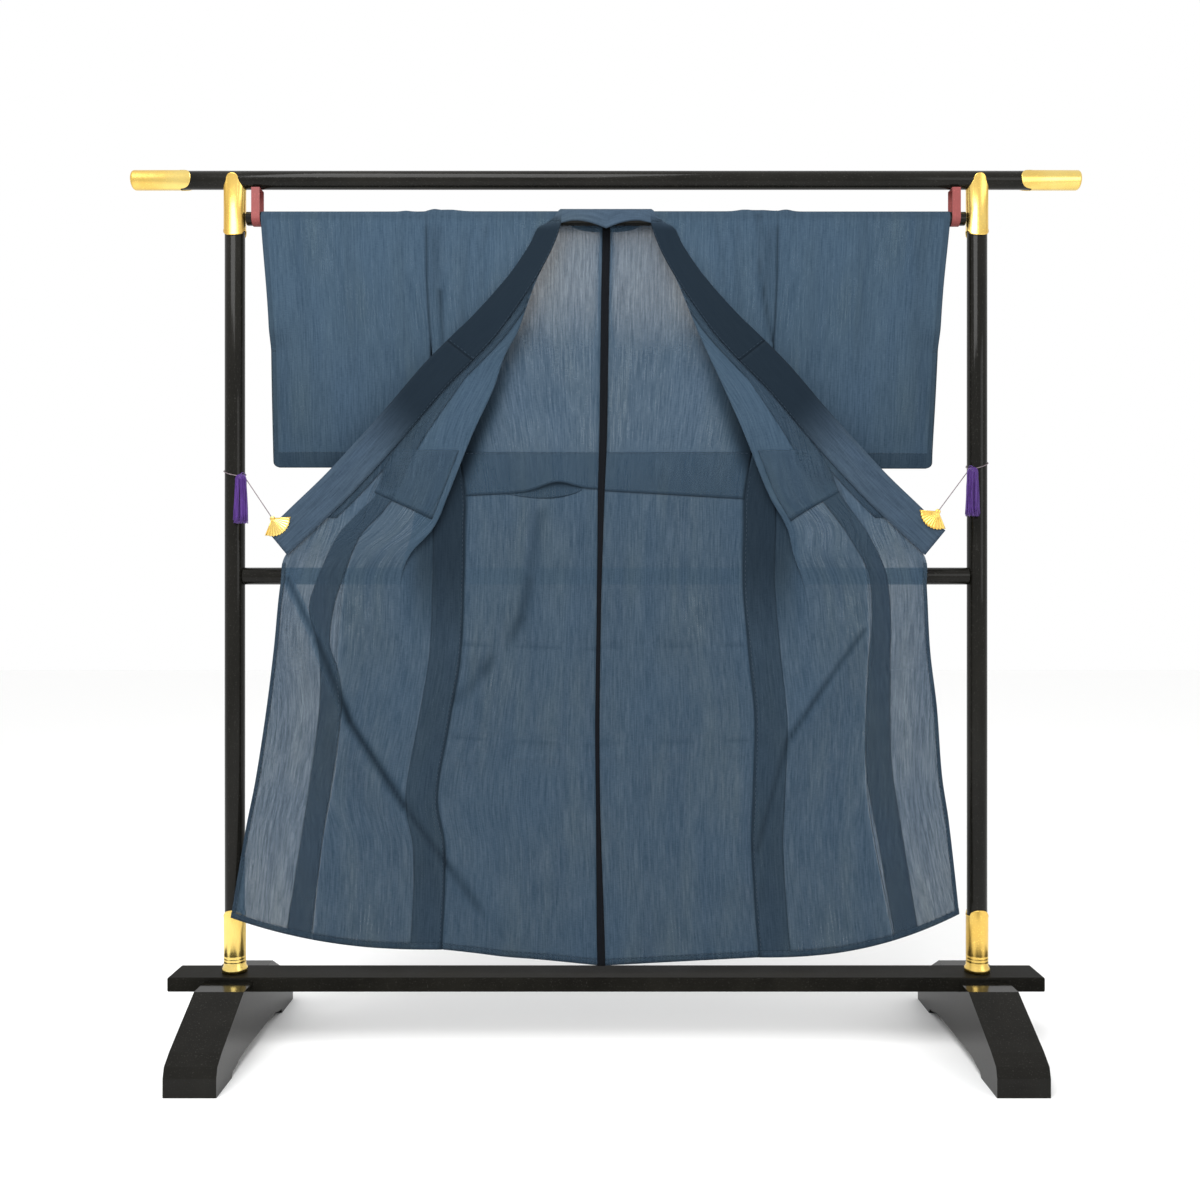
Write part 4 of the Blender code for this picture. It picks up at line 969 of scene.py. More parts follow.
def hard_material(
    name, colour, tint, roughness, metallic=0.0, coat=0.0, relief=0.2, depth=0.0004, gloss=0.5
):
    """A finish on Object coordinates: a colour, its hazed tint, specks and uneven gloss."""
    found = bpy.data.materials.get(name)
    if found:
        return found
    made, tree, shader = new_material(name, roughness, metallic)
    shader.inputs["Coat Weight"].default_value = coat
    shader.inputs["Specular IOR Level"].default_value = gloss
    place = tree.nodes.new("ShaderNodeTexCoord").outputs["Object"]
    worn = placed_group(tree, worn_surface(), place)
    hazed = mixed(tree, worn.outputs["Haze"], colour, tint)
    dust = [min(v * SPECK_TINT + SPECK_PALE, 1) for v in tint]
    specked = mixed(tree, worn.outputs["Speck"], hazed, dust)
    tree.links.new(specked, shader.inputs["Base Color"])
    uneven = spread(tree, worn.outputs["Haze"], 0.0, 1.0, roughness, roughness + HAZE_ROUGHNESS)
    tree.links.new(uneven, shader.inputs["Roughness"])
    bump(tree, shader, worn.outputs["Relief"], relief, depth)
    return made


def lacquer_finish():
    colour = bpy.context.scene.kimono_fittings.lacquer
    return hard_material(
        "lacquered wood", colour, toned(colour, 1.7),
        roughness=0.09, coat=0.06, relief=0.12, depth=0.0008, gloss=0.10,
    )


def beam_finish():
    colour = bpy.context.scene.kimono_fittings.lacquer
    return hard_material(
        "lacquered beam", colour, toned(colour, 2.0),
        roughness=0.40, relief=0.12, depth=0.0008, gloss=0.02,
    )


def gold_finish():
    colour = bpy.context.scene.kimono_fittings.gold
    tint = [v * share for v, share in zip(colour, GOLD_TINT)]
    return hard_material(
        "gilt brass", colour, tint, roughness=0.24, metallic=1.0, relief=0.45, depth=0.0008
    )


def silk_finish():
    colour = bpy.context.scene.kimono_fittings.silk
    return hard_material("tassel threads", colour, toned(colour, 1.5), roughness=0.38)


def cord_finish():
    colour = bpy.context.scene.kimono_fittings.cord
    return hard_material("twisted cord", colour, CORD_TINT, roughness=0.6, relief=0.5)


def thread_finish():
    dark = bpy.context.scene.kimono_cloth.dark_yarn
    return hard_material("sewing thread", toned(dark, 0.8), toned(dark, 1.3), roughness=0.7)


def strap_finish():
    colour = bpy.context.scene.kimono_fittings.strap
    return hard_material("red webbing", colour, toned(colour, 1.25), roughness=0.62, relief=0.5)


# Making pieces


def finish_mesh(shape, name, material, smooth=True):
    mesh = bpy.data.meshes.new(name)
    shape.to_mesh(mesh)
    shape.free()
    if smooth:
        mesh.shade_smooth()
    obj = bpy.data.objects.new(name, mesh)
    bpy.context.scene.collection.objects.link(obj)
    mesh.materials.append(material)
    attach(obj, "root")
    return obj


def solid_wall(obj, thickness, offset=0.0):
    wall = obj.modifiers.new("wall", "SOLIDIFY")
    wall.thickness = thickness
    wall.offset = offset


def cloth_sheet(name, columns, rows, place, material, thickness=None, weld=False):
    """A cloth wall from a grid whose points a function places and unfolds, and its cut's sizes.

    The function gives the point, its place on the flat cloth, in metres, and the painted shade there, which
    below zero is painted light.
    """
    shape = bmesh.new()
    bmesh.ops.create_grid(shape, x_segments=columns, y_segments=rows, size=1)
    flat = {}
    shade = shape.verts.layers.float.new("shade")
    for vertex in shape.verts:
        u, v = (vertex.co.x + 1) / 2, (vertex.co.y + 1) / 2
        vertex.co, flat[vertex], *dark = place(round(u * columns), round(v * rows))
        vertex[shade] = dark[0] if dark else 0.0
    layer = shape.loops.layers.uv.new("cloth")
    for face in shape.faces:
        for loop in face.loops:
            loop[layer].uv = flat[loop.vert]
    width = max(p[0] for p in flat.values()) - min(p[0] for p in flat.values())
    drop = max(p[1] for p in flat.values()) - min(p[1] for p in flat.values())
    area = sum(face.calc_area() for face in shape.faces)
    if weld:
        bmesh.ops.remove_doubles(shape, verts=shape.verts, dist=WELD)
        shape.normal_update()
        if sum(f.normal.y * f.calc_center_median().y for f in shape.faces) < 0:
            bmesh.ops.reverse_faces(shape, faces=shape.faces)
    obj = finish_mesh(shape, name, material)
    solid_wall(obj, thickness or bpy.context.scene.kimono_cloth.wall)
    return obj, (width, drop), area


def declare_sheet(made):
    obj, (width, drop), area = made
    max(drop, area / width)
    return obj


def stitch_row(shape, points):
    """Short stitches along a line of points, an even pitch apart."""
    carry = 0.0
    for a, b in zip(points, points[1:]):
        length = (b - a).length
        if length < MERGE:
            continue
        way = (b - a) / length
        turn = way.to_track_quat("Z", "Y").to_matrix().to_4x4()
        while carry < length:
            middle = a + way * carry
            bmesh.ops.create_cone(
                shape, cap_ends=True, segments=STITCH_SIDES, depth=STITCH_LENGTH,
                radius1=STITCH_RADIUS, radius2=STITCH_RADIUS, matrix=Matrix.Translation(middle) @ turn,
            )
            carry += STITCH_PITCH
        carry -= length


def mapped_grid(shape, columns, rows, place):
    """Adds a grid whose points a function puts in place, and joins the edges that meet."""
    made = bmesh.ops.create_grid(shape, x_segments=columns, y_segments=rows, size=1)["verts"]
    for vertex in made:
        u, v = (vertex.co.x + 1) / 2, (vertex.co.y + 1) / 2
        vertex.co = place(round(u * columns), round(v * rows))
    bmesh.ops.remove_doubles(shape, verts=made, dist=MERGE)
    return list(dict.fromkeys(face for vertex in made if vertex.is_valid for face in vertex.link_faces))


def tube(shape, points, radius, sides, lobes=0, twist=1.0, swell=0.0):
    """A closed tube along a line of points. Lobes that wind round it make a twisted cord."""
    last = len(points) - 1
    ways, across = [], []
    for i in range(last + 1):
        way = (points[min(i + 1, last)] - points[max(i - 1, 0)]).normalized()
        side = across[-1] - way * across[-1].dot(way) if across else way.orthogonal()
        ways.append(way)
        across.append(side.normalized())
    reached = line_lengths(points)

    def place(i, j):
        if j == 0 or j == last + 2:
            return points[0] if j == 0 else points[last]
        at = j - 1
        angle = math.tau * i / sides
        wound = lobes * (angle - math.tau * reached[at] / twist)
        reach = radius * (1 - swell * (1 - math.cos(wound)) / 2)
        other = ways[at].cross(across[at])
        return points[at] + (across[at] * math.cos(angle) + other * math.sin(angle)) * reach

    mapped_grid(shape, sides, last + 2, place)


def spaced(points, pitch):
    """Points an even pitch apart on a line, and its two ends."""
    made, carry = [points[0]], pitch
    for a, b in zip(points, points[1:]):
        length = (b - a).length
        while carry < length:
            made.append(a.lerp(b, carry / length))
            carry += pitch
        carry -= length
    if (made[-1] - points[-1]).length < pitch / 2:
        made.pop()
    return [*made, points[-1]]


def softened(points, rounds=2):
    """A line with its corners cut, and its ends kept."""
    for _ in range(rounds):
        cut = [points[0]]
        for a, b in zip(points, points[1:]):
            cut += [a.lerp(b, 0.25), a.lerp(b, 0.75)]
        points = [*cut, points[-1]]
    return points


def closed_shell(shape, name, material):
    bmesh.ops.recalc_face_normals(shape, faces=shape.faces)
    return finish_mesh(shape, name, material)


# Backs and their sewing


def level_rows(side):
    """The drops of the rows that a side's back, front and overlap share."""
    return stations(LEVEL_FROM, OKUMI_TIP, LEVEL_MARK, FRONT[side][-1].drop, steps=LEVEL_STEPS)


def rod_shade(drop):
    """Painted shade: the cloth is darkened a little where it lies on the dark rod, as if the rod showed
    through.
    """
    return ROD_SHADE * (1 - ramp(abs(drop), *ROD_SEEN))


# Painted shade in the furrows of the cloth
def furrow_shade(x, drop):
    return -FURROW_SHADE * min(ridges(x, drop, FURROWS), 0) / FURROW_FULL


def back_shade(side, away, drop):
    """Painted shade beside the fronts' inner fold, along the side seam, in furrows, over the rod and low
    inside the fronts; darker beside the centre tape; and painted light, as more see-through cloth, high on
    the back.
    """
    row = smooth_row(FRONT[side], drop)
    strength = plateau(drop, *FOLDED)
    near = max(row.fold * BEHIND_FOLD - away, 0)
    fold_width = BEHIND_FOLD_WIDTH + BEHIND_FOLD_WIDER * strength
    fold = BEHIND_FOLD_SHADE * strength * bell(near, fold_width)
    seam_width = BACK_SEAM_WIDTH + BACK_SEAM_WIDER * (1 - ramp(drop, *BACK_SEAM_NARROWS))
    seam = SEAM_SHADE * ramp(drop, *SEAM_COMES) * bell(row.side - away, seam_width)
    x = SIDES[side] * away
    tape = TAPE_SHADE * bell(x - smooth_row(BACK, drop).centre, TAPE_SHADE_WIDTH)
    inside = BACK_DIM * ramp(drop, *BACK_DIM_COMES)
    deepest = max(fold, seam, tape, inside, rod_shade(drop))
    dark = min(deepest + furrow_shade(x, drop), DARKEST)
    # Painted light: the upper back is made more see-through
    return dark - BACK_PAINTED_LIGHT * plateau(drop, *BACK_PAINTED_LIGHT_AT) * (1 - dark)


class KIMONO_OT_backs(bpy.types.Operator):
    """The two back panels, their waist tucks, hem folds and the tape on the centre seam"""

    bl_idname = "kimono.backs"
    bl_label = "Backs"

    def execute(self, context):
        for side, sign in SIDES.items():
            self.panel(side, sign)
            self.tuck(side, sign)
        levels = stations(TAPE_TOP, LEVEL_FROM, steps=(TAPE_TOP_STEPS,))[:-1] + level_rows("left")

        def tape(i, j):
            middle = plateau(levels[j], *TAPE_NARROWED)
            width = TAPE_WIDTH + (TAPE_NARROW - TAPE_WIDTH) * middle
            across = (i / TAPE_COLUMNS - 0.5) * width
            place = back_place("left", levels[j], 0, ON_PANEL + TAPE_THICKNESS)
            return place + Vector((across, 0, 0)), (across, levels[j])

        made = cloth_sheet(
            "centre_seam_tape", TAPE_COLUMNS, len(levels) - 1, tape, tape_cloth(),
            TAPE_THICKNESS,
        )
        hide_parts("back_seam_tape")
        declare_sheet(made)
        return {"FINISHED"}

    def panel(self, side, sign):
        """A back from the rod to the hem, and the fold of its hem."""
        levels = stations(PARTING, LEVEL_FROM, steps=(TOP_STEPS,))[:-1] + level_rows(side)
        top_side = FRONT[side][0].side
        hem_drop = FRONT[side][-1].drop

        def back(i, j):
            share, level = i / BACK_COLUMNS, levels[j]
            top = neck_edge(share * top_side)
            if level < LEVEL_FROM:
                level = top + (LEVEL_FROM - top) * (level - PARTING) / (LEVEL_FROM - PARTING)
            place = back_place(side, level, share)
            return place, (sign * share * BACK_WIDTH, level), back_shade(side, abs(place.x), level)

        def hem(i, j):
            share = i / BACK_COLUMNS
            drop = hem_drop - HEM_FOLD * (1 - j / HEM_STEPS)
            return back_place(side, drop, share, ON_PANEL), (sign * share * BACK_WIDTH, drop)

        made = cloth_sheet(f"back_shell_{side}", BACK_COLUMNS, len(levels) - 1, back, sheer_cloth())
        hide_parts(f"back_{side}")
        fold, _, _ = cloth_sheet(
            f"back_hem_fold_{side}", BACK_COLUMNS, HEM_STEPS, hem, turned_in_cloth()
        )
        declare_sheet(made)

    def tuck(self, side, sign):
        """A back's waist tuck and, where its edge is pushed up, the lip of the cloth under it."""
        inner, outer, raised = BACK_TUCK[side]
        first = BACK_TUCK_MARGIN / smooth_row(FRONT[side], TUCK_TOP).side
        columns, rows = TUCK_STEPS
        lip_columns, lip_rows = LIP_STEPS

        def edge_at(share):
            """How far the tuck's edge is pushed up, and its drop there."""
            lift = raised * bell(share - LIP_MIDDLE, LIP_WIDTH)
            return lift, inner + (outer - inner) * share - lift

        def fold(i, j):
            v = j / rows
            share = first + (BACK_TUCK_END - first) * i / columns
            lift, bottom = edge_at(share)
            drop = TUCK_TOP + (bottom - TUCK_TOP) * v
            place = back_place(side, drop, share, ON_PANEL + TUCK_LOOSE * lift * v * v)
            # Painted shade along the tuck's lower edge, a little along its top, and that of the back under
            # it
            edge = TUCK_EDGE_SHADE * ramp(v, *TUCK_EDGE) + TUCK_TOP_SHADE * (1 - ramp(v, *TUCK_TOP_EDGE))
            dark = max(edge, back_shade(side, abs(place.x), drop))
            return place, (sign * share * BACK_WIDTH, drop), dark

        def lip(i, j):
            u, v = i / lip_columns, j / lip_rows
            share = LIP_SHARES[0] + (LIP_SHARES[1] - LIP_SHARES[0]) * u
            lift, bottom = edge_at(share)
            sag = raised * LIP_SAG * math.sin(math.pi * u**LIP_LEAN)
            drop = bottom - LIP_HIDDEN + (lift + LIP_HIDDEN + sag) * v
            # Painted shadow on the lip under the tuck's raised edge, deepest just under the tuck and along
            # the lip's lower edge
            dark = LIP_SHADE + LIP_EDGE_SHADE * ramp(v, *LIP_EDGE)
            dark += LIP_UNDER_SHADE * (1 - ramp(v, *LIP_UNDER))
            return back_place(side, drop, share, LIP_OUT), (sign * share * BACK_WIDTH, drop), dark

        made = cloth_sheet(f"back_tuck_shell_{side}", columns, rows, fold, tuck_cloth())
        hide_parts(f"back_tuck_{side}")
        pieces = []
        if raised:
            name = f"back_tuck_lip_{side}"
            pieces = [cloth_sheet(name, lip_columns, lip_rows, lip, tuck_cloth())[0]]
        declare_sheet(made)


def front_shade(side, drop, distance, x):
    """Painted shade along the side seam and the armhole, in the roll of the inner fold and the hollow under
    it, lower down, over the rod and in furrows, and painted light, as more see-through cloth, on the lower
    overlap.
    """
    _, lengths, okumi = front_section(side, drop)
    row = smooth_row(FRONT[side], drop)
    fold_at = lengths[-1] - (row.edge - row.fold)
    before, after = max(fold_at - distance, 0), max(distance - fold_at, 0)
    roll = ROLL_SHADE * plateau(drop, *FOLDED) * bell(before, ROLL_BEFORE) * bell(after, ROLL_AFTER)
    sewn = ramp(drop, *SEAM_COMES)
    seam = SEAM_SHADE * sewn * bell(distance, FRONT_SEAM_WIDTH)
    hollow = HOLLOW_SHADE * sewn * (1 - ramp(drop, *HOLLOW_GOES)) * (1 - ramp(distance, *HOLLOW_WIDTH))
    armhole = ARMHOLE_EDGE_SHADE * ramp(drop, *OFF_ROD) * (1 - sewn) * bell(distance, ARMHOLE_EDGE)
    armhole += ARMHOLE_SHADE * plateau(drop, *BUNCHED) * bell(distance - ARMHOLE_AWAY, ARMHOLE_WIDTH)
    on_okumi = ramp(distance, okumi - OKUMI_LAP, okumi)
    dim = FRONT_DIM * ramp(drop, *FRONT_DIM_COMES) * (1 - on_okumi)
    deepest = max(roll, seam, hollow, armhole, dim, rod_shade(drop))
    dark = min(deepest + furrow_shade(x, drop), DARKEST)
    # Painted light: the lower overlap is made more see-through, so it looks lighter and greyer
    painted_light_opening = OKUMI_PAINTED_LIGHT * ramp(drop, *OKUMI_PAINTED_LIGHT_COMES) * on_okumi
    return dark - painted_light_opening * (1 - dark)


class KIMONO_OT_fronts(bpy.types.Operator):
    """The two fronts, the overlap panels sewn to them, their tucks and their turned-in edges"""

    bl_idname = "kimono.fronts"
    bl_label = "Fronts"

    def execute(self, context):
        for side in SIDES:
            self.panels(side)
        return {"FINISHED"}

    def panels(self, side):
        over = stations(GAP / 2 - QUARTER, QUARTER, LEVEL_FROM, steps=OVER_ROD_STEPS)
        drops = over[:-1] + level_rows(side)
        columns = len(front_section(side, drops[0])[0]) - 1

        def front(i, j):
            drop = drops[j]
            _, lengths, okumi = front_section(side, drop)
            end = okumi + SEAM_LAP if drop > OKUMI_TIP - GAP else lengths[-1]
            inner = columns - LAST_STEPS
            distance = lengths[i]
            if i > inner:
                distance = lengths[inner] + (end - lengths[inner]) * (i - inner) / LAST_STEPS
            place = front_place(side, drop, distance)
            return place, (distance, drop), front_shade(side, drop, distance, place.x)

        made = cloth_sheet(f"front_shell_{side}", columns, len(drops) - 1, front, sheer_cloth())
        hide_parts(f"front_{side}")
        okumi_drops = [drop for drop in drops if drop > OKUMI_TIP - GAP]

        def overlap(i, j):
            drop = okumi_drops[j]
            _, lengths, okumi = front_section(side, drop)
            start = okumi - SEAM_LAP
            distance = start + (lengths[-1] - start) * i / LAST_STEPS
            place = front_place(side, drop, distance)
            dark = front_shade(side, drop, distance, place.x)
            return place, (distance - okumi + OKUMI_ON_MAP, drop), dark

        panel = cloth_sheet(
            f"okumi_shell_{side}", LAST_STEPS, len(okumi_drops) - 1, overlap, sheer_cloth()
        )
        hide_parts(f"okumi_{side}")
        low = FRONT[side][-1].drop

        def band(name, first, last, rows, columns, out=ON_PANEL):
            """A strip between two distances along each level, which may depend on the drop."""

            def strip(i, j):
                drop = rows[j]
                start, end = first(drop), last(drop)
                distance = start + (end - start) * i / columns
                place = front_place(side, drop, distance, out)
                dark = front_shade(side, drop, distance, place.x)
                return place, (distance, drop), dark

            return cloth_sheet(f"{name}_{side}", columns, len(rows) - 1, strip, turned_in_cloth())[0]

        def edge_at(drop):
            return front_section(side, drop)[1][-1]

        def at_distance(drop, away):
            """The distance along a level of a line beyond the inner fold."""
            row = smooth_row(FRONT[side], drop)
            path, lengths, _ = front_section(side, drop)
            inside, edge = path[-1 - LAST_STEPS], path[-1]
            beyond = (edge - inside).length / abs(edge.x - inside.x)
            return lengths[-1] - max(row.edge - away, EDGE_CLEAR) * beyond

        rows = OKUMI_BAND[side]
        end = low - BAND_CLEAR
        okumi_band = band(
            "okumi_allowance",
            lambda drop: at_distance(drop, smooth_row(rows, drop).inner),
            lambda drop: at_distance(drop, smooth_row(rows, drop).outer),
            stations(rows[0].drop, OKUMI_BAND_MARK, end, steps=(50, 110)), columns=10,
        )
        side_band = band(
            "side_allowance", lambda drop: SIDE_ALLOWANCE[0], lambda drop: SIDE_ALLOWANCE[1],
            stations(SIDE_SEAM_TOP - SIDE_SEAM_CLOSING, end, steps=(116,)), columns=12,
        )
        edge_band = band(
            "edge_fold", lambda drop: edge_at(drop) - EDGE_FOLD, edge_at,
            stations(COLLAR_END + EDGE_FOLD_BELOW, end, steps=(80,)), columns=3,
        )
        hem_band = band(
            "front_hem_fold", lambda drop: 0.0, edge_at,
            stations(low - HEM_FOLD, low, steps=(HEM_STEPS,)), columns=48, out=2 * ON_PANEL,
        )
        collar_band = band(
            "collar_allowance",
            lambda drop: edge_at(drop) - COLLAR_ALLOWANCE * ramp(drop, *COLLAR_ALLOWANCE_WIDENS), edge_at,
            stations(COLLAR_ALLOWANCE_TOP, COLLAR_ALLOWANCE_END, steps=(60,)), columns=4,
        )
        declare_sheet(made)
        declare_sheet(panel)
        fold_bottom, seam_bottom = FRONT_TUCK[side]
        tuck_columns, tuck_rows = FRONT_TUCK_STEPS

        def tuck(i, j):
            u, v = i / tuck_columns, j / tuck_rows
            bottom = fold_bottom + (seam_bottom - fold_bottom) * u
            drop = TUCK_TOP + (bottom - TUCK_TOP) * v
            _, lengths, okumi = front_section(side, drop)
            row = smooth_row(FRONT[side], drop)
            start = lengths[-1] - (row.edge - row.fold) + FRONT_TUCK_MARGINS[0]
            distance = start + (okumi - FRONT_TUCK_MARGINS[1] - start) * u
            place = front_place(side, drop, distance, ON_PANEL)
            # Painted shade along the front tuck's lower edge
            edge = FRONT_TUCK_SHADE * ramp(v, *FRONT_TUCK_EDGE)
            return place, (distance, drop), max(edge, front_shade(side, drop, distance, place.x))

        tuck_made = cloth_sheet(
            f"front_tuck_shell_{side}", tuck_columns, tuck_rows, tuck, tuck_cloth()
        )
        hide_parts(f"front_tuck_{side}")
        declare_sheet(tuck_made)


class KIMONO_OT_collar(bpy.types.Operator):
    """The layered collar and the over-collar round its neck"""

    bl_idname = "kimono.collar"
    bl_label = "Collar"

    def execute(self, context):
        for side, sign in SIDES.items():
            start, end = OVER_COLLAR_END + GAP / 2, COLLAR[-1].station
            columns, rows = COLLAR_STEPS

            def half(i, j):
                station = start + (end - start) * j / rows
                across = i / columns
                # Painted shade on the collar, full from the neck and fading before its tip
                dark = COLLAR_SHADE * (1 - ramp(station, *COLLAR_GOES))
                return collar_place(sign, station, across), (across * COLLAR_WIDTH, station), dark

            made = cloth_sheet(
                f"collar_shell_{side}", columns, rows, half, collar_cloth(), COLLAR_LAYER
            )
            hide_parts(f"collar_{side}")
            declare_sheet(made)
        reach = OVER_COLLAR_END - GAP / 2
        marks = stations(-reach, -NECK_END, NECK_END, reach, steps=OVER_COLLAR_STEPS)

        def over(i, j):
            sign = 1 if marks[j] >= 0 else -1
            station, across = abs(marks[j]), i / OVER_COLLAR_COLUMNS
            # Painted shade on the over-collar, all along it but at the middle of the neck
            dark = COLLAR_SHADE * ramp(station, *NECK_SHADE_COMES)
            return collar_place(sign, station, across), (across * COLLAR_WIDTH, marks[j]), dark

        made = cloth_sheet(
            "over_collar_shell", OVER_COLLAR_COLUMNS, len(marks) - 1, over, collar_cloth(),
            OVER_COLLAR_LAYER,
        )
        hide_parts("over_collar")
        declare_sheet(made)
        return {"FINISHED"}


def sleeve_shade(side, share, drop):
    """Painted shade where the layered hem and cuff let less light through, at the armhole, over the rod, in
    soft folds, towards the cuff and a little in the lower half.
    """
    drop = abs(drop)
    hem_top = SLEEVE[side][-1].drop - SLEEVE_HEM
    hem = SLEEVE_HEM_SHADE * ramp(drop, hem_top - SLEEVE_HEM_EDGE, hem_top)
    cuff = CUFF_SHADE * ramp(share, *CUFF_EDGE)
    armhole = SLEEVE_EDGE_SHADE * ramp(drop, *OFF_ROD) * bell(share, SLEEVE_EDGE)
    low = SLEEVE_LOW_SHADE * ramp(drop, *SLEEVE_LOW)
    soft = SLEEVE_END_SHADE * ramp(share, *SLEEVE_END)
    for fold in SLEEVE_FOLDS[side]:
        soft += fold.strength * plateau(drop, *SLEEVE_FOLDED) * bell(share - fold.share, fold.width)
    return max(hem, cuff, armhole, rod_shade(drop)) + low + soft


def inner_shares(count):
    """Even shares of the way between two ends, without the ends."""
    return [i / count for i in range(1, count)]


def both_ways(drops):
    """The drops of a back, below zero, and then those of a front."""
    return [-drop for drop in reversed(drops[1:])] + drops


class KIMONO_OT_sleeves(bpy.types.Operator):
    """The two sleeves, flat bags over the rod, with their hems and cuff folds"""

    bl_idname = "kimono.sleeves"
    bl_label = "Sleeves"

    def execute(self, context):
        for side in SIDES:
            bottom = SLEEVE[side][-1].drop
            hem_top = bottom - SLEEVE_HEM
            drops = both_ways(stations(
                0, QUARTER, 0.10, CUFF_OPENING, hem_top - SLEEVE_HEM_EDGE, hem_top,
                bottom - SLEEVE_CORNER, bottom, steps=(8, 8, 14, 26, 1, 5, 8),
            ))
            columns = stations(0, 0.02, *CUFF_EDGE, 1, steps=(5, 52, 1, 4))

            def bag(i, j):
                share, drop = columns[i], drops[j]
                flat = (share * SLEEVE_WIDTH, drop)
                return sleeve_place(side, share, drop), flat, sleeve_shade(side, share, drop)

            made = cloth_sheet(
                f"sleeve_shell_{side}", len(columns) - 1, len(drops) - 1, bag, sheer_cloth(), weld=True
            )
            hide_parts(f"sleeve_{side}")

            hem_columns, hem_rows = SLEEVE_HEM_STEPS
            hem_start, hem_reach = SLEEVE_HEM_SHARES

            def hem(i, j):
                up = (SLEEVE_HEM - SLEEVE_HEM_INSIDE) * (1 - j / hem_rows)
                drop = bottom - SLEEVE_HEM_INSIDE - up
                place = sleeve_place(side, hem_start + hem_reach * i / hem_columns, drop)
                place.y = 0
                return place, (i / hem_columns * SLEEVE_WIDTH, drop)

            band = cloth_sheet(f"sleeve_hem_{side}", hem_columns, hem_rows, hem, turned_in_cloth())[0]
            cuff_drops = both_ways(stations(0, QUARTER, hem_top, steps=(6, 40)))

            def cuff(i, j):
                drop = cuff_drops[j]
                share = 1 - CUFF_MARGIN - CUFF_FOLD / CUFF_CLOTH * (1 - i / CUFF_STEPS)
                return sleeve_place(side, share, drop, CLOTH / 2 + ON_PANEL), (share * SLEEVE_WIDTH, drop)

            fold = cloth_sheet(
                f"cuff_fold_{side}", CUFF_STEPS, len(cuff_drops) - 1, cuff, turned_in_cloth()
            )[0]
            declare_sheet(made)
        return {"FINISHED"}


# Clips, cords and tassels


def clip_forward(sign):
    """How far in front of the rod's plane the collar's middle lies where a clip holds it."""
    return -collar_place(sign, CLIP_STATION, 1).y


def fan_leaf(shape, sign, clip, forward, radius, relief):
    """A folded fan's leaf, from pointing inwards to pointing down and a little outwards."""
    columns, rows = FAN_FOLDS * FAN_FOLD_STEPS, FAN_ROWS

    def place(i, j):
        turn = math.radians(FAN_START + (FAN_END - FAN_START) * i / columns)
        fold = abs((i / columns * FAN_FOLDS) % 1 * 2 - 1)
        share = j / rows
        scallop = 1 - FAN_SCALLOP * fold * share**FAN_SCALLOP_POWER
        reach = FAN_HUB + (radius - FAN_HUB) * share * scallop
        lift = relief * (0.5 - fold) * share
        x, z = clip.x - math.cos(turn) * reach, clip.z + math.sin(turn) * reach
        return Vector((sign * x, -forward - lift, z))

    leaf = mapped_grid(shape, columns, rows, place)
    bmesh.ops.solidify(shape, geom=leaf, thickness=FAN_THICKNESS)


def post_touch(point, turn):
    """The angle at which a line from a point, seen from above, touches the cord's way round the post."""
    way = point - Vector((POST_X, 0))
    return math.atan2(-way.y, way.x) + turn * math.acos(CORD_WRAP / way.length)


def round_post(angle):
    return Vector((POST_X + CORD_WRAP * math.cos(angle), -CORD_WRAP * math.sin(angle)))


def tassel_hang(clip, forward):
    """Seen from above: where the tassel's ring hangs on the cord, and the tassel's own middle."""
    boss = Vector((clip.x, -forward))
    touch = round_post(post_touch(boss, -1))
    hang = touch.lerp(boss, (clip.tassel_x - touch.x) / (boss.x - touch.x))
    way = (boss - touch).normalized()
    return hang, hang + Vector((-way.y, way.x)) * CORD_BESIDE


def cord_line(sign, clip, forward):
    """From the clip's boss past the tassel, round the post and back to the tassel's ring."""
    hang = tassel_hang(clip, forward)[0]
    knot = clip.tassel_top - KNOT_DROP
    boss = Vector((clip.x, -forward, clip.z))
    tassel = Vector((*hang, knot))
    points = [boss + (tassel - boss).normalized() * CORD_START, tassel]
    start = post_touch(boss.xy, -1)
    end = post_touch(hang, 1) - math.tau
    for i in range(CORD_STEPS + 1):
        angle = start + (end - start) * i / CORD_STEPS
        lift = math.sin(math.pi * (CORD_LIFT[0] + (CORD_LIFT[1] - CORD_LIFT[0]) * i / CORD_STEPS))
        points.append(Vector((*round_post(angle), knot + (clip.wrap_z - knot) * lift)))
    points.append(tassel + Vector((0, 0, 2 * CORD_RADIUS + 2 * GAP)))
    points = [Vector((sign * p.x, p.y, p.z)) for p in points]
    return spaced(softened(spaced(points, CORD_COARSE)), CORD_FINE)


def ring_line(centre, side, up, radius):
    angles = [math.tau * i / RING_STEPS for i in range(RING_STEPS + 1)]
    return [centre + (side * math.cos(a) + up * math.sin(a)) * radius for a in angles]


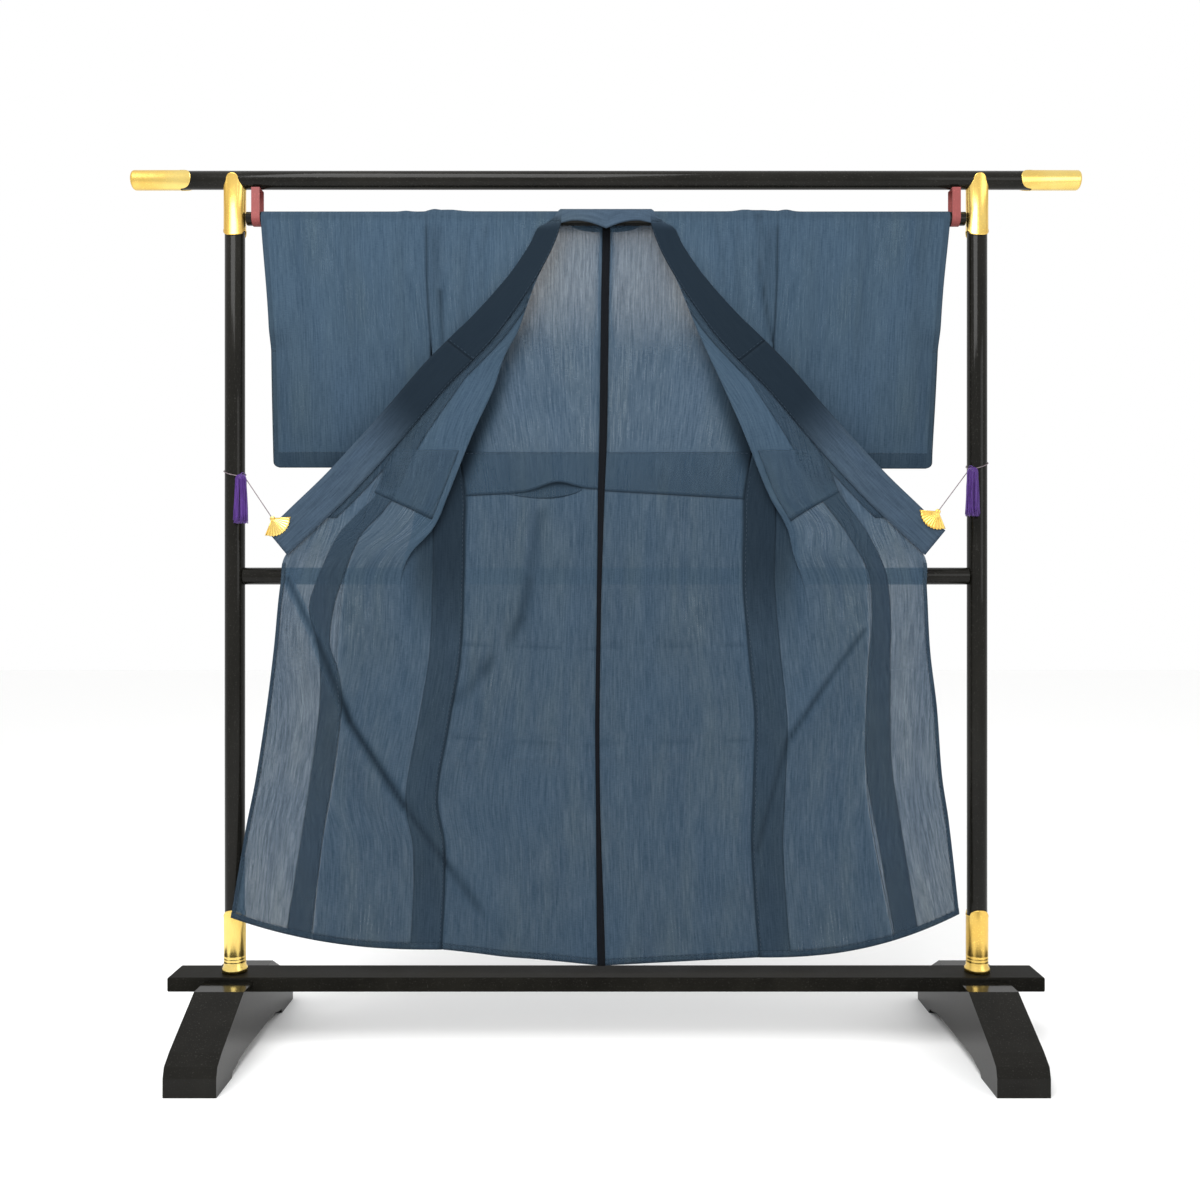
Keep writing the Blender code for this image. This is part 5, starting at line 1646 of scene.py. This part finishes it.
class KIMONO_OT_clips(bpy.types.Operator):
    """The two gilt fan clips that hold the collar's ends, and their cords round the posts"""

    bl_idname = "kimono.clips"
    bl_label = "Clips and cords"

    def execute(self, context):
        for side, sign in SIDES.items():
            clip = CLIPS[side]
            forward = clip_forward(sign)
            reach = COLLAR_THICKNESS / 2 + CLIP_PLAY + FAN_THICKNESS / 2
            shape = bmesh.new()
            fan_leaf(shape, sign, clip, forward + reach, FAN_RADIUS, FAN_RELIEF)
            fan_leaf(shape, sign, clip, forward - reach, FAN_BACK_RADIUS, FAN_RELIEF / 2)
            boss = Vector((sign * clip.x, -forward, clip.z))
            front, rear = boss + Vector((0, -reach, 0)), boss + Vector((0, reach, 0))
            for turn in (FAN_START, FAN_END):
                way = Vector((-sign * math.cos(math.radians(turn)), 0, math.sin(math.radians(turn))))
                ends = [front + way * FAN_HUB, front + way * (FAN_RADIUS + RIB_PAST)]
                tube(shape, ends, RIB_RADIUS, RIB_SIDES)
            tube(shape, [front, rear], BOSS_RADIUS * PIN_SHARE, BOSS_SIDES)
            for out in (-1, 1):
                at = Matrix.Translation(boss + Vector((0, out * (reach + FAN_THICKNESS / 2), 0)))
                bmesh.ops.create_uvsphere(
                    shape, u_segments=BOSS_SIDES, v_segments=BOSS_SIDES // 2, radius=BOSS_RADIUS,
                    matrix=at @ Matrix.Diagonal((1, BOSS_FLATNESS, 1, 1)),
                )
            eye = ring_line(boss, Vector((1, 0, 0)), Vector((0, 0, 1)), BOSS_RADIUS)
            tube(shape, eye, RING_WIRE, EYE_SIDES)
            made = closed_shell(shape, f"fan_clip_{side}", gold_finish())
            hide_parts(f"clip_{side}")

            line = cord_line(sign, clip, forward)
            shape = bmesh.new()
            tube(shape, line, CORD_RADIUS, CORD_SIDES, CORD_LOBES, CORD_TWIST, CORD_SWELL)
            cord = closed_shell(shape, f"twisted_cord_{side}", cord_finish())
            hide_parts(f"clip_cord_{side}")
            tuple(line[0])
            line_lengths(line)[-1]
        return {"FINISHED"}


class KIMONO_OT_tassels(bpy.types.Operator):
    """The silk tassels: threads folded over a ring on the cord, in two loose bundles"""

    bl_idname = "kimono.tassels"
    bl_label = "Tassels"

    def execute(self, context):
        threads = context.scene.kimono_fittings.threads
        for side, sign in SIDES.items():
            clip = CLIPS[side]
            hang, middle = tassel_hang(clip, clip_forward(sign))
            centre = Vector((sign * middle.x, middle.y, clip.tassel_top - TASSEL_RADIUS))
            shape = bmesh.new()
            for k in range(threads):
                self.thread(shape, centre, k, threads)
            on_cord = Vector((sign * hang.x, hang.y, clip.tassel_top - KNOT_DROP))
            in_head = Vector((centre.x, centre.y, on_cord.z))
            between = in_head - on_cord
            ring = ring_line(
                (on_cord + in_head) / 2, between.normalized(), Vector((0, 0, 1)),
                between.length / 2 + CORD_RADIUS + RING_WIRE,
            )
            tube(shape, ring, RING_WIRE, RING_SIDES)
            made = closed_shell(shape, f"silk_tassel_{side}", silk_finish())
            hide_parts(f"tassel_{side}")
        return {"FINISHED"}

    def thread(self, shape, centre, k, threads):
        """One thread, up one bundle, over the ring and down the other, with its own stray and ends."""
        outer = TASSEL_RADIUS - THREAD_RADIUS
        reach = outer * math.sqrt((k + 0.5) / threads)
        half = max(abs(reach * math.cos(k * GOLDEN_ANGLE)), THREAD_NARROWEST)
        out = reach * math.sin(k * GOLDEN_ANGLE)
        full = TASSEL_LENGTH - TASSEL_RADIUS

        def leg(hand, share, short):
            fall = (full - THREAD_UNEVEN * short) * share
            flare = 1 + TASSEL_FLARE * share * share
            stray = THREAD_STRAY * math.sin(1.7 * k + 7 * share) * share
            away = hand * (half * flare + TASSEL_PARTING * ramp(share, *TASSEL_PARTS)) + stray
            return centre + Vector((away, out * flare + stray, -fall))

        left, right = (1 + math.sin(12.9 * k)) / 2, (1 + math.sin(7.3 * k + 2)) / 2
        points = [leg(-1, i / LEG_STEPS, left) for i in range(LEG_STEPS, 0, -1)]
        for i in range(TOP_OF_THREAD_STEPS + 1):
            angle = math.pi * (1 - i / TOP_OF_THREAD_STEPS)
            points.append(centre + Vector((half * math.cos(angle), out, half * math.sin(angle))))
        points += [leg(1, i / LEG_STEPS, right) for i in range(1, LEG_STEPS + 1)]
        tube(shape, points, THREAD_RADIUS, THREAD_SIDES)


# Sewing


class KIMONO_OT_stitches(bpy.types.Operator):
    """The running stitches of the seams, hems, tucks and collar"""

    bl_idname = "kimono.stitches"
    bl_label = "Stitches"

    def execute(self, context):
        for side, sign in SIDES.items():
            shape = bmesh.new()
            for line in [*self.panel_lines(side), *self.collar_lines(sign), *self.sleeve_lines(side)]:
                stitch_row(shape, line)
            closed_shell(shape, f"stitches_{side}", thread_finish())
        return {"FINISHED"}

    def panel_lines(self, side):
        """Along the overlap's seam, the side seam, the free edge, both hems and the waist tuck."""
        low = FRONT[side][-1].drop
        hem = low - HEM_FOLD + STITCH_INSIDE
        out = ON_PANEL + STITCH_LIFT
        seam = stations(SEAM_STITCHES_TOP, low - SEAM_STITCHES_CLEAR, steps=(220,))
        side_seam = [drop for drop in seam if drop > SIDE_SEAM_TOP]
        free = [drop for drop in seam if drop > COLLAR_END + FREE_STITCHES_BELOW]
        shares = inner_shares(STITCHED_STEPS)
        width = front_section(side, low - HEM_FOLD)[1][-1]

        def beside_okumi(drop):
            return front_section(side, drop)[2] + OKUMI_STITCHES

        def inside_edge(drop):
            return front_section(side, drop)[1][-1] - EDGE_FOLD + STITCH_INSIDE

        return [
            [front_place(side, drop, beside_okumi(drop), out + ON_PANEL / 2) for drop in seam],
            [front_place(side, drop, SIDE_STITCHES, out) for drop in side_seam],
            [front_place(side, drop, inside_edge(drop), out) for drop in free],
            [front_place(side, hem, width * share, out + ON_PANEL) for share in shares],
            [back_place(side, hem, share, out) for share in shares],
            [back_place(side, TUCK_TOP + TUCK_STITCHES, share, out) for share in shares],
        ]

    def collar_lines(self, sign):
        """Along the collar's sewn edge and across the end of the over-collar."""
        out = COLLAR_OUT + COLLAR_THICKNESS / 2
        marks = stations(COLLAR_STITCHES[0], COLLAR[-1].station - COLLAR_STITCHES[1], steps=(90,))
        end = OVER_COLLAR_END - OVER_COLLAR_STITCHES
        return [
            [collar_place(sign, mark, COLLAR_STITCH_SHARE, out) for mark in marks],
            [collar_place(sign, end, share, out) for share in inner_shares(OVER_COLLAR_STITCH_STEPS)],
        ]

    def sleeve_lines(self, side):
        """Along the sleeve's hem, behind and in front."""
        hem = SLEEVE[side][-1].drop - SLEEVE_HEM
        start, reach = SLEEVE_STITCH_SHARES
        shares = [start + reach * share for share in inner_shares(STITCHED_STEPS)]
        return [
            [sleeve_place(side, share, face * hem, -SLEEVE_STITCH_OUT) for share in shares]
            for face in (-1, 1)
        ]


# Rack


def round_bar(name, node, ends, radius):
    """A lacquered round bar between two points, its rims rounded, in a rack node's place."""
    shape = bmesh.new()
    way = (ends[1] - ends[0]).normalized()
    turn = way.to_track_quat("Z", "Y").to_matrix().to_4x4()
    corners = bmesh.ops.create_cone(
        shape, cap_ends=True, segments=BAR_SIDES, radius1=radius, radius2=radius,
        depth=(ends[1] - ends[0]).length, matrix=Matrix.Translation((ends[0] + ends[1]) / 2) @ turn,
    )["verts"]
    rims = [e for e in shape.edges if abs((e.verts[0].co - e.verts[1].co).normalized().dot(way)) < 0.5]
    bmesh.ops.bevel(
        shape, geom=[*corners, *rims], offset=BAR_ROUNDING, offset_type="OFFSET", segments=3,
        profile=0.5, affect="EDGES", material=-1,
    )
    made = closed_shell(shape, name, lacquer_finish())
    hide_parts(node)


def tongue(angle, reach):
    """How far a rim's rounded tongue stands out, at an angle from the front, and alike at the back."""
    away = math.asin(min(abs(math.sin(angle)), 1))
    return math.sqrt(max(1 - (away / reach) ** 2, 0))


def gilt_sleeve(name, node, section, place):
    """A thin gilt sleeve: a closed section that may change with the angle, taken round a bar."""
    shape = bmesh.new()
    count = len(section(0.0))

    def point(i, j):
        angle = math.tau * i / GILT_SIDES
        radius, along = section(angle)[j]
        return place(radius, along, angle)

    mapped_grid(shape, GILT_SIDES, count - 1, point)
    made = closed_shell(shape, name, gold_finish())
    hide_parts(node)


def upper_rim(inner, outer, middle, high):
    """The upper half of a sleeve's outside, with a bead below its rim, and the way in to its bore."""
    bead = [(outer, high - BEAD * 3), (outer + BEAD, high - BEAD * 1.5), (outer, high)]
    return [(outer, middle), *bead, (inner, high)]


def beaded(inner, outer, low, high):
    """A sleeve's section between two rims, with a bead along each."""
    bead = [(outer, low), (outer + BEAD, low + BEAD * 1.5), (outer, low + BEAD * 3)]
    return [(inner, low), *bead, *upper_rim(inner, outer, (low + high) / 2, high), (inner, low)]


def ferrule_section(angle):
    """Its foot ends in a tongue at the front, and its head is cut to the rail and laps over it."""
    inner, outer = POST_RADIUS + GAP, (FERRULE_HIGH.x - FERRULE_LOW.x) / 2
    low = FERRULE_LOW.z + RIM_TONGUE * (1 - tongue(angle, FERRULE_REACH))
    out = abs(outer * math.cos(angle))
    clear = RAIL_RADIUS + GAP
    if out < clear:
        high = RAIL_Z - math.sqrt(clear**2 - out**2)
    else:
        high = RAIL_Z + (FERRULE_HIGH.z - RAIL_Z) * tongue(angle, math.acos(clear / outer))
    return beaded(inner, outer, low, high)


def foot_ring_section(angle):
    """A flared foot, grooves above it, and a head that ends in a tongue at the front."""
    inner, outer = POST_RADIUS + GAP, (FERRULE_HIGH.x - FERRULE_LOW.x) / 2
    low = FOOT_RING_LOW.z
    high = FOOT_RING_HIGH.z - RIM_TONGUE * (1 - tongue(angle, FOOT_RING_REACH))
    flared = (FOOT_RING_HIGH.x - FOOT_RING_LOW.x) / 2
    foot = [(inner, low), (flared, low), (flared, low + FOOT_FLARE), (outer, low + FOOT_SLOPE)]
    grooves = []
    for i in range(GROOVES):
        at = low + GROOVE_START + GROOVE_PITCH * i
        bottom = (outer - GROOVE_DEPTH, at + GROOVE_HALF)
        grooves += [(outer, at), bottom, (outer, at + 2 * GROOVE_HALF)]
    return [*foot, *grooves, *upper_rim(inner, outer, (low + FOOT_PLAIN + high) / 2, high), (inner, low)]


def cap_section(angle):
    """A rim that ends in a tongue at the front, a bead along it, and a rounded closed end."""
    inner, outer = RAIL_RADIUS + GAP / 2, (CAP_HIGH.z - CAP_LOW.z) / 2
    low, high = CAP_LOW.x + CAP_TONGUE * (1 - tongue(angle, CAP_REACH)), CAP_HIGH.x
    turns = [math.pi / 2 * i / CAP_STEPS for i in range(CAP_STEPS + 1)]
    end = [
        (outer - CAP_ROUNDING * (1 - math.cos(turn)), high - CAP_ROUNDING * (1 - math.sin(turn)))
        for turn in turns
    ]
    return [
        (inner, low), (outer, low), (outer + BEAD / 2, low + BEAD), (outer, low + BEAD * 2),
        *end, (0, high), (0, high - CAP_WALL), (inner, high - CAP_ROUNDING), (inner, low),
    ]


class KIMONO_OT_rack(bpy.types.Operator):
    """The finishes of the rack's own parts, its smooth round bars and its gilt sleeves and caps"""

    bl_idname = "kimono.rack"
    bl_label = "Rack"

    def execute(self, context):
        finishes = {
            "lacquer": lacquer_finish(),
            "gold": gold_finish(),
            "strap": strap_finish(),
            "cord": cord_finish(),
            "tassel": silk_finish(),
        }
        slots = {part["node"]: part["material_slot"] for part in frame["record"]["subparts"]}
        for name, obj in frame["nodes"].items():
            material = finishes.get(slots[name])
            if material is None:
                continue
            obj.data.materials.clear()
            obj.data.materials.append(beam_finish() if name == "base_rail" else material)
        for name in ("inner_rod", "top_rail", "cross_rail", "post_left", "post_right"):
            low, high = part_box(name)
            middle, reach = (low + high) / 2, (high - low) / 2
            way = Vector((0, 0, 1)) if name.startswith("post") else Vector((1, 0, 0))
            length = reach.dot(way)
            if name == "cross_rail":
                length = POST_X - POST_RADIUS + CROSS_INTO_POST
            if name == "top_rail":
                length += CAP_TONGUE + RAIL_INTO_CAP
            round_bar(f"smooth_{name}", name, (middle - way * length, middle + way * length), reach.y)
        for side, sign in SIDES.items():

            def on_post(radius, along, angle):
                x = sign * (POST_X + radius * math.sin(angle))
                return Vector((x, -radius * math.cos(angle), along))

            def on_rail(radius, along, angle):
                z = RAIL_Z + radius * math.sin(angle)
                return Vector((sign * along, -radius * math.cos(angle), z))

            for name, node, section, place in (
                ("lobed_ferrule", "top_ferrule", ferrule_section, on_post),
                ("grooved_foot_ring", "base_ferrule", foot_ring_section, on_post),
                ("lobed_cap", "rail_cap", cap_section, on_rail),
            ):
                gilt_sleeve(f"{name}_{side}", f"{node}_{side}", section, place)
        return {"FINISHED"}


class KIMONO_OT_stage(bpy.types.Operator):
    """A pale floor, soft light all round and the camera"""

    bl_idname = "kimono.stage"
    bl_label = "Stage"

    def execute(self, context):
        stage = context.scene.kimono_stage
        shape = bmesh.new()
        bmesh.ops.create_grid(shape, x_segments=1, y_segments=1, size=FLOOR_HALF)
        mesh = bpy.data.meshes.new("floor")
        shape.to_mesh(mesh)
        shape.free()
        floor = bpy.data.objects.new("floor", mesh)
        context.scene.collection.objects.link(floor)
        made, _, shader = new_material("pale floor", roughness=0.6)
        shader.inputs["Base Color"].default_value = (*stage.floor, 1.0)
        mesh.materials.append(made)
        world = bpy.data.worlds.new("surround")
        context.scene.world = world
        world.use_nodes = True
        background = world.node_tree.nodes["Background"]
        background.inputs["Color"].default_value = (1.0, 1.0, 1.0, 1.0)
        background.inputs["Strength"].default_value = stage.surround
        context.scene.view_settings.view_transform = "Standard"
        for lamp in LAMPS:
            light = bpy.data.lights.new(lamp.name, "AREA")
            light.size = lamp.size
            light.energy = stage.key * lamp.share
            made = bpy.data.objects.new(lamp.name, light)
            made.location = lamp.place
            made.rotation_euler = (LIT_POINT - made.location).to_track_quat("-Z", "Y").to_euler()
            context.scene.collection.objects.link(made)
        camera = bpy.data.cameras.new("camera")
        camera.lens = CAMERA_LENS
        eye = bpy.data.objects.new("camera", camera)
        eye.location = CAMERA_PLACE
        eye.rotation_euler = (math.pi / 2, 0, 0)
        context.scene.collection.objects.link(eye)
        context.scene.camera = eye
        return {"FINISHED"}


class KIMONO_PT_panel(bpy.types.Panel):
    """Lists the operators in the sidebar"""

    bl_idname = "KIMONO_PT_panel"
    bl_label = "Kimono"
    bl_space_type = "VIEW_3D"
    bl_region_type = "UI"
    bl_category = "Kimono"

    def draw(self, context):
        for operator in OPERATORS:
            self.layout.operator(operator.bl_idname)


SETTINGS = {
    "kimono_cloth": ClothSettings,
    "kimono_fittings": FittingSettings,
    "kimono_stage": StageSettings,
}
OPERATORS = (
    KIMONO_OT_rack,
    KIMONO_OT_backs,
    KIMONO_OT_fronts,
    KIMONO_OT_collar,
    KIMONO_OT_sleeves,
    KIMONO_OT_clips,
    KIMONO_OT_tassels,
    KIMONO_OT_stitches,
    KIMONO_OT_stage,
)


def register():
    for name, settings in SETTINGS.items():
        bpy.utils.register_class(settings)
        setattr(bpy.types.Scene, name, PointerProperty(type=settings))
    for operator in OPERATORS:
        bpy.utils.register_class(operator)
    bpy.utils.register_class(KIMONO_PT_panel)


def unregister():
    bpy.utils.unregister_class(KIMONO_PT_panel)
    for operator in reversed(OPERATORS):
        bpy.utils.unregister_class(operator)
    for name, settings in SETTINGS.items():
        delattr(bpy.types.Scene, name)
        bpy.utils.unregister_class(settings)


def main():
    register()
    for operator in OPERATORS:
        group, name = operator.bl_idname.split(".")
        getattr(getattr(bpy.ops, group), name)()
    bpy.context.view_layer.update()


if __name__ == "__main__":
    main()
